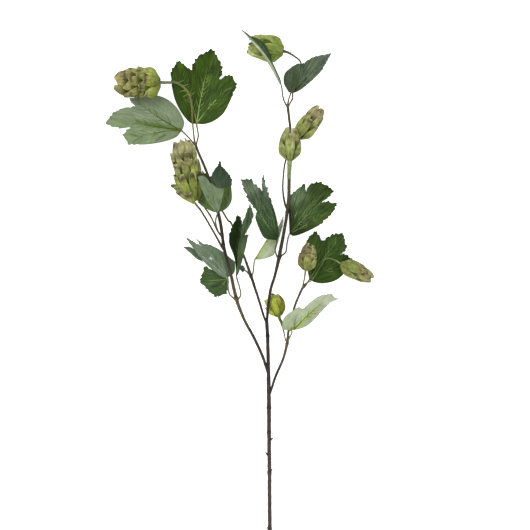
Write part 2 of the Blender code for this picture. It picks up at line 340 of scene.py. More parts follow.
@dataclass
class Bench:
    """A material's node tree, and short ways to add to it."""

    material: bpy.types.Material

    MIX_FIRST, MIX_SECOND, MIX_RESULT = 6, 7, 2  # a Mix node's colour sockets, by number

    def node(self, kind: str, **inputs: object) -> bpy.types.Node:
        """Add a node and set or link its inputs.

        Args:
            kind: Node type, without its ShaderNode prefix.
            **inputs: Value or socket for each input, named in lower case with underscores.

        Returns:
            The new node.
        """
        node = self.material.node_tree.nodes.new("ShaderNode" + kind)
        for name, value in inputs.items():
            self.plug(node.inputs[name.replace("_", " ").title()], value)
        return node

    def plug(self, socket: bpy.types.NodeSocket, value: object) -> None:
        """Set a socket to a value, or link another socket to it."""
        if isinstance(value, bpy.types.NodeSocket):
            self.material.node_tree.links.new(value, socket)
        else:
            socket.default_value = value

    def attribute(self, name: str) -> bpy.types.Node:
        """Add a node that reads one of the piece's own attributes."""
        node = self.node("Attribute")
        node.attribute_name = name
        return node

    def noise(self, vector: bpy.types.NodeSocket, scale: float, detail: float,
              low: float, high: float) -> bpy.types.NodeSocket:
        """Add a noise pattern and spread it between two values.

        Args:
            vector: Where the pattern is read.
            scale: Waves for each millimetre of the grain.
            detail: Steps of finer noise.
            low: Value at the pattern's low places.
            high: Value at its high places.

        Returns:
            The socket that carries the spread value.
        """
        noise = self.node("TexNoise", vector=vector, scale=scale, detail=detail)
        spread = self.node("MapRange", value=noise.outputs[0], from_min=0.3, from_max=0.7,
                           to_min=low, to_max=high)
        return spread.outputs[0]

    def stretch(self, vector: bpy.types.NodeSocket, scale: Point) -> bpy.types.NodeSocket:
        """Scale the place where a pattern is read, differently along each axis."""
        mapping = self.node("Mapping", vector=vector)
        mapping.inputs["Scale"].default_value = scale
        return mapping.outputs[0]

    def times(self, colour: bpy.types.NodeSocket,
              factor: bpy.types.NodeSocket) -> bpy.types.NodeSocket:
        """Multiply a colour by a value and return the result's socket."""
        mix = self.node("Mix")
        mix.data_type = "RGBA"
        mix.blend_type = "MULTIPLY"
        mix.inputs[0].default_value = 1.0
        self.plug(mix.inputs[self.MIX_FIRST], colour)
        self.plug(mix.inputs[self.MIX_SECOND], factor)
        return mix.outputs[self.MIX_RESULT]


@dataclass(frozen=True)
class Finish:
    """A painted or grown surface: its own colours, mottled, streaked and slightly rough."""

    name: str
    slot: str
    roughness: tuple[float, float]
    specular: float
    mottle: tuple[float, float]  # scale for each millimetre, and depth
    streak: tuple[float, float, float]  # scale across, scale along, and depth
    relief: tuple[float, float]  # scale for each millimetre, and depth in millimetres

    def make(self) -> bpy.types.Material:
        """Build the material.

        The colour is the paint attribute, times a slow mottle, times streaks that run along
        the grain. A finer noise gives the relief and moves the roughness.

        Returns:
            The material.
        """
        material = bpy.data.materials.new(self.name)
        material.use_nodes = True
        bench = Bench(material)
        shader = material.node_tree.nodes["Principled BSDF"]
        grain = bench.attribute("grain").outputs["Vector"]
        colour = bench.attribute("paint").outputs["Color"]
        scale, depth = self.mottle
        colour = bench.times(colour, bench.noise(grain, scale, 3, 1 - depth, 1 + depth))
        across, along, depth = self.streak
        lines = bench.stretch(grain, (across, along, across))
        colour = bench.times(colour, bench.noise(lines, 1.0, 2, 1 - depth, 1 + depth))
        scale, depth = self.relief
        fine = bench.noise(grain, scale, 2, 0, 1)
        streaks = bench.noise(lines, 1.0, 2, 0, 1)
        height = bench.node("Math")
        height.operation = "ADD"
        bench.plug(height.inputs[0], fine)
        bench.plug(height.inputs[1], streaks)
        bump = bench.node("Bump", strength=0.6, distance=depth * MM, height=height.outputs[0])
        low, high = self.roughness
        bench.plug(shader.inputs["Base Color"], colour)
        bench.plug(shader.inputs["Roughness"], bench.noise(grain, scale, 1, low, high))
        bench.plug(shader.inputs["Normal"], bump.outputs[0])
        shader.inputs["Specular IOR Level"].default_value = self.specular
        return material


BARK = Finish("stem_bark_finish", "stem_bark", (0.5, 0.75), 0.2,
              (0.12, 0.2), (1.3, 0.09, 0.4), (1.6, 0.4))
STALK = Finish("green_stalk_finish", "green_stalk", (0.5, 0.7), 0.15,
               (0.2, 0.18), (2.0, 0.15, 0.25), (2.0, 0.2))
LEAF = Finish("leaf_green_finish", "leaf_green", (0.48, 0.66), 0.07,
              (0.06, 0.22), (0.95, 0.045, 0.55), (0.7, 0.35))
PALE_LEAF = Finish("leaf_pale_finish", "leaf_pale", (0.6, 0.8), 0.1,
                   (0.06, 0.1), (0.85, 0.045, 0.17), (0.7, 0.35))
SCALE = Finish("cone_green_finish", "cone_green", (0.5, 0.7), 0.1,
               (0.22, 0.3), (1.0, 0.09, 0.35), (0.9, 0.4))


@dataclass
class Workshop:
    """What every piece needs from the frame: the plan's place on it and the finishes."""

    shift: Array
    materials: dict[str, bpy.types.Material]

    @classmethod
    def from_frame(cls) -> "Workshop":
        """Find the plan's origin, the middle of the stem's cut end, and make the finishes.

        The frame's stem has eight sides with flats up, down and to each side, so its widest
        places are its radius times the cosine of half a side's angle from its centre.

        Returns:
            The workshop.
        """
        low, high = (np.array(corner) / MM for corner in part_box("stem_lower"))
        flat = STEM_FOOT_RADIUS * math.cos(math.pi / 8)
        shift = np.array([high[0] - flat, low[1], low[2] + flat - STEM_FOOT_HEIGHT])
        finishes = (BARK, STALK, LEAF, PALE_LEAF, SCALE)
        return cls(shift, {finish.slot: finish.make() for finish in finishes})

    def place(self, skin: Skin, node: str, finish: Finish, crease: float = 50) -> None:
        """Build a piece, dress it, and let it stand for its CAD node.

        Args:
            skin: The piece's surfaces.
            node: CAD node that it replaces.
            finish: Its finish.
            crease: Angle in degrees over which an edge stays sharp.
        """
        thing = skin.build("looks_" + node, self.materials[finish.slot], self.shift, crease)
        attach(thing, "root")
        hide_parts(node)
        LOG.info("%s: %d points, %d faces", thing.name, skin.total, len(skin.faces))


@dataclass
class Thorn:
    """A short tapered hook on a stem or stalk."""

    foot: Point
    tip: Point
    radius: float = 0.7
    curl: float = 0.25

    RINGS = 6
    SIDES = 6

    def grow(self, skin: Skin, colour: Array) -> None:
        """Add the hook to a piece: a cone whose centre line bows up by a share of its length.

        Args:
            skin: The piece that it grows on.
            colour: Its linear colour.
        """
        t = np.linspace(0, 1, self.RINGS)[:, None]
        foot, tip = np.array(self.foot), np.array(self.tip)
        reach = np.linalg.norm(tip - foot)
        path = foot + (tip - foot) * t + np.array([0, 0, 1.0]) * reach * self.curl * t * (1 - t)
        radii = self.radius * (1 - 0.85 * t[:, 0])
        skin.tube(*rod(path, radii, self.SIDES, colour))


def rod(path: Array, radii: Array, sides: int,
        colour: Array) -> tuple[Array, Array, Array]:
    """Carry a round profile along a path.

    Args:
        path: Points of its centre line.
        radii: Radius at each point, or at each point and side.
        sides: Number of sides of the profile.
        colour: Linear colour, for all or for each point of the path.

    Returns:
        The rings of points, their colours, and their grain: round the rod in its first and
        third values, along it in its second.
    """
    _, side, up = axes(path)
    turns = compass(sides)
    radii = np.broadcast_to(np.reshape(radii, (len(path), -1)), (len(path), sides))
    rings = (path[:, None] + radii[..., None]
             * (side[:, None] * np.cos(turns)[:, None] + up[:, None] * np.sin(turns)[:, None]))
    run = np.broadcast_to(lengths(path)[:, None], radii.shape)
    grain = np.stack([radii * np.cos(turns), run, radii * np.sin(turns)], -1)
    colour = np.broadcast_to(colour, (len(path), 3))[:, None]
    return rings, colour, grain


@dataclass
class Stem:
    """A woody length: a bark-covered rod with swollen joints, thorns and a cut or hidden end."""

    node: str
    points: list[Point]
    radii: list[float]
    root: Point | None = None
    joints: list[float] = field(default_factory=list)  # distances from its first point
    thorns: list[Thorn] = field(default_factory=list)
    shades: list[Shade] = field(default_factory=lambda: [(76, 67, 64)] * 2)
    cut: bool = False

    SIDES = 14
    PRESSED = 0.1  # least height of the bark
    SWELL = 0.26  # of a joint, as a share of the radius
    SWELL_REACH = 1.7
    SCAR_OVER = 2.2  # how far over a joint its dark scar is
    SCAR_REACH = 1.3
    CUT_SHADE = (186, 172, 140)  # of the wood at the cut end
    CUT_SHARE = 0.86  # its radius, as a share of the stem's
    CUT_STEP = 0.01  # how far it stands in from the bark's end

    def skin(self) -> Skin:
        """Build the surface.

        Along the rod the radius follows its own smooth curve, swells at each joint by a bell
        curve, and wavers with two slow sines; the bark is darker just over a joint. What would
        go into the table is pressed flat on it.

        Returns:
            The skin.
        """
        points, radii = list(self.points), list(self.radii)
        if self.root:
            points, radii = [self.root] + points, [radii[0] * 1.05] + radii
        path, radius = smooth_path(points, radii, 2.0)
        run = lengths(path)
        start = run[np.linalg.norm(path - self.points[0], axis=1).argmin()]
        shade = along(self.shades, run / run[-1])
        for joint in self.joints:
            gap = run - start - joint
            radius = radius * (1 + self.SWELL * np.exp(-(gap / self.SWELL_REACH) ** 2))
            scar = np.exp(-((gap - self.SCAR_OVER) / self.SCAR_REACH) ** 2)
            shade = blend(shade, shade * 0.3, scar)
        turns = compass(self.SIDES)
        waver = (1 + 0.035 * np.sin(run[:, None] * 0.55 + 2 * turns)
                 + 0.03 * np.sin(run[:, None] * 0.21 - 3 * turns))
        skin = Skin()
        if self.cut:
            path = np.vstack([path[0] + (0, self.CUT_STEP, 0), path])
            radius = np.append(radius[0] * self.CUT_SHARE, radius)
            waver = np.vstack([waver[:1], waver])
            shade = np.vstack([paint(self.CUT_SHADE), shade])
        rings, colour, grain = rod(path, radius[:, None] * waver, self.SIDES, shade)
        rings[..., 2] = np.maximum(rings[..., 2], self.PRESSED)
        skin.tube(rings, colour, grain)
        for thorn in self.thorns:
            thorn.grow(skin, shade[len(shade) // 2] * 0.45)
        return skin


@dataclass
class Stalk:
    """A thin green stalk from a stem to a leaf or cone, with small barbs near its foot."""

    node: str
    root: Point
    points: list[Point]
    end: list[Point]
    widths: list[float]  # radii, evenly spaced from the root to the end
    shades: list[Shade]
    barbs: list[Thorn] = field(default_factory=list)

    SIDES = 10

    def skin(self) -> Skin:
        """Build the surface: a slightly uneven rod that runs through its radii.

        Returns:
            The skin.
        """
        points = [self.root] + self.points + self.end
        path, _ = smooth_path(points, [0.0] * len(points), 1.5)
        run = lengths(path)
        share = run / run[-1]
        radius = np.interp(share, np.linspace(0, 1, len(self.widths)), self.widths)
        waver = 1 + 0.05 * np.sin(run[:, None] * 0.8 + compass(self.SIDES))
        shade = along(self.shades, share)
        skin = Skin()
        skin.tube(*rod(path, radius[:, None] * waver, self.SIDES, shade))
        for barb in self.barbs:
            nearest = np.linalg.norm(path - barb.foot, axis=1).argmin()
            barb.grow(skin, shade[nearest])
        return skin


@dataclass(frozen=True)
class Tie:
    """The course of a stalk from inside its stem to its leaf or cone."""

    node: str
    target: str
    root: Point
    points: list[Point]
    widths: list[float] = field(default_factory=lambda: [1.5, 1.2, 1.2, 1.2, 0.5])
    shades: list[Shade] = field(default_factory=list)
    barbs: list[Thorn] = field(default_factory=list)


class Face(Enum):
    """Which face of a leaf is turned up."""

    UPPER = "upper"
    UNDER = "under"


@dataclass(frozen=True)
class Spot:
    """A soft round patch of another shade on a leaf; some of them are painted sheen."""

    across: float
    ahead: float
    reach: float
    shade: Shade
    strength: float = 1.0


@dataclass
class Leaf:
    """A lobed blade: a thin closed sheet with saw teeth, a quilted face and raised veins."""

    node: str
    base: Point
    heading: float  # in degrees from the plan's first axis
    heart: tuple[float, float]  # where the rings of points start
    outline: list[tuple[float, float]]  # corners, as distances to the right and ahead
    lobes: list[tuple[float, float]] = field(default_factory=list)  # ends of the other veins
    face: Face = Face.UPPER
    rise: float = 0.0  # of the tip over the base
    arch: float = 0.0  # height of the middle over the line from base to tip
    fold: float = 0.0  # slope of both halves up from the midrib
    roll: float = 0.0  # slope up to the right
    bend: float = 0.0  # in degrees to the left, over the whole length
    near: Shade = (64, 86, 36)
    far: Shade = (64, 86, 36)
    left: Shade | None = None
    right: Shade | None = None
    spots: list[Spot] = field(default_factory=list)
    vein: Shade = (128, 150, 90)
    back: Shade = (122, 140, 104)
    vein_strength: float = 1.0
    rib: float = 0.75
    root: tuple[float, float] = (0.0, 1.0)  # where the veins start
    tip: tuple[float, float] | None = None  # where the midrib ends
    band: Shade | None = None  # of a soft stripe along the midrib
    tooth: float = 0.44  # height of a tooth as a share of its pitch
    pitch: float | None = None  # spacing of the teeth, or None to suit the length
    smooth_to: float = 0.38  # share of the length below which the edge has no teeth
    hole: tuple[float, float, float, float] | None = None  # a tear: place and half sizes
    seed: int = 1

    THICKNESS = 0.4
    RINGS = 18
    EDGE_STEP = 1.1
    SHARP_TURN = 50.0
    FAN = 12.0  # how far behind the base the pattern fans out from
    FAN_ARC = 50.0  # distance from there at which its arc is measured
    FULL_SIZE = 60.0  # length from which the quilting has its whole depth
    PUFF = 1.1
    PUFF_REACH = 4.5
    RIPPLE = 0.4
    RIPPLE_PITCH = 9.0
    SAW_BACK = 0.78  # share of a tooth's pitch over which it rises
    SAW_MIDDLE = 0.45
    SIDE_VEIN_PITCH = 7.0
    SIDE_VEIN_TURN = 32.0
    SIDE_VEIN_LENGTH = 26.0
    SIDE_VEIN_LEAST = 4.0
    RIDGE = ((-1, 0.0), (0, 0.55), (1, 0.0), (0, -0.15))  # a vein's section, by half widths

    @property
    def length(self) -> float:
        """How far the blade reaches ahead of its base."""
        return max(corner[1] for corner in self.outline)

    def place(self, across: Array, ahead: Array, lift: Array) -> Array:
        """Set points of the flat blade in the plan.

        The blade is bent to the left round a circle, turned to its heading, and raised by its
        rise, its arch, the fold of both halves and the roll of its right side.

        Args:
            across: Distance to the right of the midrib.
            ahead: Distance ahead of the base.
            lift: Height over the blade's own surface.

        Returns:
            The points, with one more axis than the arguments.
        """
        share = ahead / self.length
        forward, left = ahead, -across
        if self.bend:
            bend = math.radians(self.bend)
            reach = self.length / bend
            forward = (reach + across) * np.sin(bend * share)
            left = reach - (reach + across) * np.cos(bend * share)
        up = (self.rise * share + self.arch * 4 * share * (1 - share)
              + self.fold * (np.sqrt(across ** 2 + 4) - 2) + self.roll * across)
        turn = math.radians(self.heading)
        x, y, z = self.base
        return np.stack([x + forward * math.cos(turn) - left * math.sin(turn),
                         y + forward * math.sin(turn) + left * math.cos(turn),
                         z + up + lift], -1)

    def edge(self) -> Array:
        """Draw the toothed outline.

        A cubic runs through the corners, but stays straight beside a sharp one. Each point is
        then moved out by a saw tooth that rises towards the tip and drops behind it.

        Returns:
            The points of the closed outline.
        """
        corners = np.array(self.outline, float)
        before, after = np.roll(corners, 1, axis=0), np.roll(corners, -1, axis=0)
        into, out = corners - before, after - corners
        turn = np.degrees(np.abs(np.angle(
            (out[:, 0] + 1j * out[:, 1]) / (into[:, 0] + 1j * into[:, 1]))))
        sharp = (turn > self.SHARP_TURN)[:, None]
        index, t = share_out(np.linalg.norm(out, axis=1), self.EDGE_STEP)
        lead = np.where(sharp, 2 * corners - after, before)
        trail = np.where(np.roll(sharp, -1, axis=0), 2 * after - corners,
                         np.roll(corners, -2, axis=0))
        line = cubic(lead[index], corners[index], after[index], trail[index], t)
        ahead = np.roll(line, -1, axis=0) - np.roll(line, 1, axis=0)
        ahead /= np.linalg.norm(ahead, axis=1, keepdims=True) + 1e-9
        area = np.sum(line[:, 0] * np.roll(line[:, 1], -1) - line[:, 1] * np.roll(line[:, 0], -1))
        outward = np.stack([ahead[:, 1], -ahead[:, 0]], -1) * np.sign(area)
        run = lengths(line)
        run = run + 1.6 * np.sin(run * 0.31 + self.seed) + 0.9 * np.sin(run * 0.83 + 2 * self.seed)
        pitch = self.pitch or min(9.5, max(5.0, self.length / 11))
        phase = (run / pitch) % 1
        phase = np.where(ahead[:, 1] > 0, phase, 1 - phase)
        saw = np.where(phase < self.SAW_BACK, phase / self.SAW_BACK,
                       (1 - phase) / (1 - self.SAW_BACK))
        size = self.tooth * pitch * (0.75 + 0.25 * np.sin(run * 0.17 + self.seed))
        size = size * ease(line[:, 1] / self.length, self.smooth_to, self.smooth_to + 0.2)
        return line + outward * ((saw - self.SAW_MIDDLE) * size)[:, None]

    def veins(self) -> list[tuple[Array, Array]]:
        """Lay out the main veins, from the base to the tip and to each lobe.

        Returns:
            Start and end of each.
        """
        start = np.array(self.root)
        tip = np.array(self.tip or (0.0, self.length))
        ends = [tip] + [np.array(lobe, float) for lobe in self.lobes]
        return [(start, start + 0.92 * (end - start)) for end in ends]

    def relief(self, across: Array, ahead: Array, share: Array) -> Array:
        """Work out the quilting of the face.

        The face sinks to each main vein by a bell curve of the distance from it, ripples
        between the side veins with a cosine of the distance along it, and waves near the edge.

        Args:
            across: Distance to the right of the midrib.
            ahead: Distance ahead of the base.
            share: Share of the way from the heart to the edge.

        Returns:
            Height over the plain blade at each point.
        """
        places = np.stack([across, ahead], -1)
        nearest = np.full(across.shape, 1e9)
        along = np.zeros(across.shape)
        for start, end in self.veins():
            run = end - start
            size = np.linalg.norm(run)
            t = np.clip(((places - start) @ run) / size ** 2, 0, 1)
            gap = np.linalg.norm(places - start - t[..., None] * run, axis=-1)
            along = np.where(gap < nearest, t * size, along)
            nearest = np.minimum(gap, nearest)
        puff = 1 - np.exp(-(nearest / self.PUFF_REACH) ** 2)
        ripple = np.cos(2 * math.pi * (along - 0.8 * nearest) / self.RIPPLE_PITCH)
        ripple = ripple * ease(nearest, 1.5, 6)
        way = 1.0 if self.face is Face.UPPER else -1.0
        turn = np.arctan2(across - self.heart[0], ahead - self.heart[1])
        size = min(1.0, self.length / self.FULL_SIZE)
        wave = share ** 3 * np.sin(5 * turn + self.seed) * size
        return way * size * (self.PUFF * puff + self.RIPPLE * ripple) + wave

    def colour(self, across: Array, ahead: Array, share: Array) -> Array:
        """Paint the face that is turned up.

        The shade runs from near to far along the blade, turns to its own left or right shade
        away from the midrib, takes each spot by a bell curve, and darkens along the edge. On some
        leaves these halves, spots and far shades are painted shade and painted sheen.

        Args:
            across: Distance to the right of the midrib.
            ahead: Distance ahead of the base.
            share: Share of the way from the heart to the edge.

        Returns:
            Linear colour at each point.
        """
        colour = blend(paint(self.near), paint(self.far), ahead / self.length)
        start, end = self.veins()[0]
        run = (end - start) / np.linalg.norm(end - start)
        gap = (across - start[0]) * run[1] - (ahead - start[1]) * run[0]
        if self.left:
            colour = blend(colour, paint(self.left), ease(-gap, 0.0, 1.5))
        if self.right:
            colour = blend(colour, paint(self.right), ease(gap, 0.0, 1.5))
        for spot in self.spots:
            away = (across - spot.across) ** 2 + (ahead - spot.ahead) ** 2
            strength = spot.strength * np.exp(-away / spot.reach ** 2)
            colour = blend(colour, paint(spot.shade), strength)
        if self.band:
            t = ((across - start[0]) * run[0] + (ahead - start[1]) * run[1]) / self.length
            stripe = np.exp(-(gap / 4.0) ** 2) * (1 - ease(t, 0.25, 0.9))
            colour = blend(colour, paint(self.band), 0.9 * stripe)
        dark = 0.8 if self.face is Face.UPPER else 0.3
        return blend(colour, colour * 0.5, dark * ease(share, 0.93, 1.0))

    def grain(self, across: Array, ahead: Array) -> Array:
        """Fan the pattern out from a point behind the base.

        Its first part is the angle from there, as an arc in millimetres, and its second part
        the distance. Each leaf has its own layer of the pattern.

        Args:
            across: Distance to the right of the midrib.
            ahead: Distance ahead of the base.

        Returns:
            Place in the pattern.
        """
        behind = ahead + self.FAN
        arc = self.FAN_ARC * np.arctan2(across - self.root[0], behind)
        return np.stack([arc, np.hypot(across, behind), 0 * arc + 13.7 * self.seed], -1)

    def reach(self, edge: Array, start: Array, way: Array) -> float:
        """Measure how far a straight line runs inside the outline.

        Args:
            edge: Points of the outline.
            start: Start of the line, inside.
            way: Its direction, of length 1.

        Returns:
            Distance to the first crossing.
        """
        after = np.roll(edge, -1, axis=0)
        run, gap = after - edge, edge - start
        cross = way[0] * run[:, 1] - way[1] * run[:, 0]
        cross = np.where(np.abs(cross) < 1e-9, 1e-9, cross)
        far = (gap[:, 0] * run[:, 1] - gap[:, 1] * run[:, 0]) / cross
        share = (gap[:, 0] * way[1] - gap[:, 1] * way[0]) / cross
        hits = far[(share >= 0) & (share <= 1) & (far > 0.5)]
        return float(hits.min()) if len(hits) else 0.0

    def rib_lines(self, edge: Array) -> list[tuple[Array, float, float]]:
        """Draw every vein on the flat blade: the main ones and, off them, the side ones.

        A side vein leaves its main vein at about 30 degrees and curves ahead with the square
        of its length. It ends short of the edge.

        Args:
            edge: Points of the outline.

        Returns:
            For each vein its points, its half width at the start and its strength.
        """
        chance = np.random.default_rng(self.seed)
        lines = []
        t = np.linspace(0, 1, 22)[:, None]
        for number, (start, end) in enumerate(self.veins()):
            run = end - start
            size = float(np.linalg.norm(run))
            ahead = run / size
            square = np.array([ahead[1], -ahead[0]])
            sway = 0.02 * size * np.sin(math.pi * t) * (1 if number % 2 else -1)
            main = start + run * t + square * sway
            lines.append((main, self.rib * (1.0 if number == 0 else 0.8), 1.0))
            count = max(2, int(size / self.SIDE_VEIN_PITCH))
            for k in range(count):
                share = 0.14 + 0.74 * (k + 0.5) / count
                for hand in (-1, 1):
                    turn = self.SIDE_VEIN_TURN + chance.uniform(-8, 8)
                    angle = math.radians(hand * turn)
                    way = np.array([ahead[0] * math.cos(angle) + ahead[1] * math.sin(angle),
                                    ahead[1] * math.cos(angle) - ahead[0] * math.sin(angle)])
                    foot = start + run * (share + chance.uniform(-0.03, 0.03))
                    room = self.reach(edge, foot, way)
                    most = self.SIDE_VEIN_LENGTH * (1 - 0.45 * share)
                    span = min(room * 0.8, most * chance.uniform(0.6, 1.1))
                    if span < self.SIDE_VEIN_LEAST:
                        continue
                    s = np.linspace(0, 1, 10)[:, None]
                    side = foot + way * span * s + ahead * 0.12 * span * s ** 2
                    lines.append((side, self.rib * 0.6, chance.uniform(0.1, 0.9)))
        return lines

    def lay_rib(self, skin: Skin, line: Array, half: float, strength: float, way: float) -> None:
        """Raise one vein on a face: a ridge of four-cornered section that thins to its end.

        Args:
            skin: The leaf's skin.
            line: Its points on the flat blade.
            half: Half width at its start.
            strength: How much of the vein's own shade it has.
            way: 1 for the face turned up and -1 for the other.
        """
        t = np.linspace(0, 1, len(line))
        ahead = np.gradient(line, axis=0)
        ahead /= np.linalg.norm(ahead, axis=1, keepdims=True)
        square = np.stack([ahead[:, 1], -ahead[:, 0]], -1)
        width = half * (1 - 0.7 * t)
        ring = []
        for side, height in self.RIDGE:
            flat = line + square * (side * width)[:, None]
            base = self.relief(flat[:, 0], flat[:, 1], 0 * t)
            lift = base + way * (self.THICKNESS / 2 + height * width - 0.05)
            ring.append(self.place(flat[:, 0], flat[:, 1], lift))
        share = np.zeros(len(line))
        plain = self.colour(line[:, 0], line[:, 1], share) if way > 0 else paint(self.back)
        fade = self.vein_strength * strength * (1 - ease(t, 0.45, 1.0) * 0.9)
        colour = blend(plain, paint(self.vein), fade)[:, None]
        grain = self.grain(line[:, 0], line[:, 1])[:, None]
        skin.tube(np.stack(ring, 1), colour, grain)

    def skin(self) -> Skin:
        """Build the blade: rings of points from the heart to the edge, once for each face.

        Returns:
            The skin.
        """
        edge = self.edge()
        heart = np.array(self.heart)
        share = np.linspace(0, 1, self.RINGS + 1)[1:] ** 0.85
        flat = heart + share[:, None, None] * (edge - heart)
        across, ahead = flat[..., 0], flat[..., 1]
        shares = np.broadcast_to(share[:, None], across.shape)
        relief = self.relief(across, ahead, shares)
        centre = np.array([[self.heart[0]], [self.heart[1]]])
        skin = Skin()
        rims = []
        torn = np.zeros((self.RINGS - 1, flat.shape[1]), bool)
        if self.hole:
            x, y, half_x, half_y = self.hole
            middle = (flat[:-1] + flat[1:]) / 2
            torn = ((middle[..., 0] - x) / half_x) ** 2 + ((middle[..., 1] - y) / half_y) ** 2 < 1
        for way in (1, -1):
            lift = way * self.THICKNESS / 2
            if way > 0:
                colour = self.colour(across, ahead, shares)
            else:
                colour = np.broadcast_to(paint(self.back), flat.shape[:2] + (3,))
            grain = self.grain(across, ahead)
            index = skin.sheet(self.place(across, ahead, relief + lift), colour, grain)
            skin.cover(index, wrap=True, keep=~torn)
            middle = self.relief(centre[0], centre[1], np.zeros(1))
            skin.pole(index[0], self.place(centre[0], centre[1], middle + lift)[0],
                      colour[0, 0], grain[0, 0])
            rims.append(index)
        skin.cover(np.stack([rims[0][-1], rims[1][-1]]), wrap=True)
        skin.hem(rims[0], rims[1], torn)
        for line, half, strength in self.rib_lines(edge):
            for way in (1, -1):
                self.lay_rib(skin, line, half, strength, way)
        return skin


@dataclass(frozen=True)
class ScaleForm:
    """The form and shades of the cones of one kind and of their scales."""

    rows: int
    ring: int
    length: float  # share of the cone's length
    width: float  # half width as a share of the spacing round the cone
    belly: float = 0.3  # share of the cone's length at which it is widest
    end: float = 0.7  # radius of its tip, as a share of its largest
    seat: float = 0.6  # how deep a scale's foot is set
    sole: float = 0.9  # the same for the lowest scales
    bulge: float = 0.12  # how far a scale's middle stands out
    cup: float = 0.26  # how far its sides turn in
    flare: float = 0.06  # how far its tip stands out
    blunt: float = 5.0  # higher is squarer
    tip: float = 0.35  # width of its tip, as a share of its own
    # Painted shade: the dark foot colour stands for the shade under the tips of the row before.
    foot: Shade = (48, 62, 8)
    body: Shade = (164, 174, 90)
    rim: Shade = (204, 208, 150)
    blotch: Shade = (88, 62, 58)
    blotch_strength: float = 0.9
    head: Shade = (170, 172, 110)  # of the scales at its tip


class ConeKind(Enum):
    """The kinds of cone on the bine."""

    ROUND = ScaleForm(5, 6, 0.36, 0.74, belly=0.25, end=0.86, body=(160, 172, 82),
                      rim=(198, 202, 132), blotch=(98, 66, 70), tip=0.5, blotch_strength=1.4,
                      bulge=0.17, cup=0.38, flare=0.1, foot=(74, 86, 18), head=(166, 152, 106))
    LONG = ScaleForm(4, 7, 0.46, 0.7, belly=0.28, end=0.94, body=(156, 170, 80), tip=0.5,
                     blunt=7, flare=0.12, blotch=(84, 60, 56), blotch_strength=1.3, sole=0.7,
                     bulge=0.19, cup=0.42, foot=(50, 70, 6), head=(198, 190, 142))
    OPEN = ScaleForm(2, 5, 0.74, 0.7, belly=0.3, end=0.6, blunt=2.6, tip=0.12, cup=0.36,
                     foot=(84, 104, 20), body=(146, 162, 78), rim=(212, 218, 156),
                     blotch_strength=0.0, bulge=0.18, seat=0.7, flare=0.12, head=(146, 156, 86))
    SMALL = ScaleForm(3, 5, 0.6, 0.72, belly=0.28, end=0.74, blunt=6, body=(166, 174, 96),
                      tip=0.45, rim=(216, 218, 168), blotch=(96, 70, 60), blotch_strength=1.0,
                      bulge=0.18, cup=0.42, sole=0.8, foot=(60, 72, 20), head=(186, 176, 128))
    FOLDED = ScaleForm(2, 5, 0.82, 0.74, belly=0.3, end=0.72, blunt=5, foot=(62, 78, 14),
                       body=(166, 176, 102), rim=(220, 224, 176), blotch=(112, 88, 62),
                       blotch_strength=1.0, bulge=0.2, cup=0.5, sole=0.8, head=(186, 190, 124))
    YOUNG = ScaleForm(2, 5, 0.82, 0.76, belly=0.38, end=0.6, blunt=3.4, foot=(136, 148, 34),
                      body=(206, 216, 88), rim=(218, 224, 130), blotch=(110, 92, 54), tip=0.3,
                      blotch_strength=0.4, bulge=0.17, cup=0.36, sole=0.6, head=(206, 214, 96))


@dataclass(frozen=True)
class Bract:
    """A single loose scale that stands away from a cone."""

    start: float  # of its foot, as a share of the cone's length
    length: float  # as a share of the cone's length
    turn: float  # in degrees round the cone
    half_width: float
    lift: float  # how far its tip stands out
    shade: Shade = (186, 194, 120)


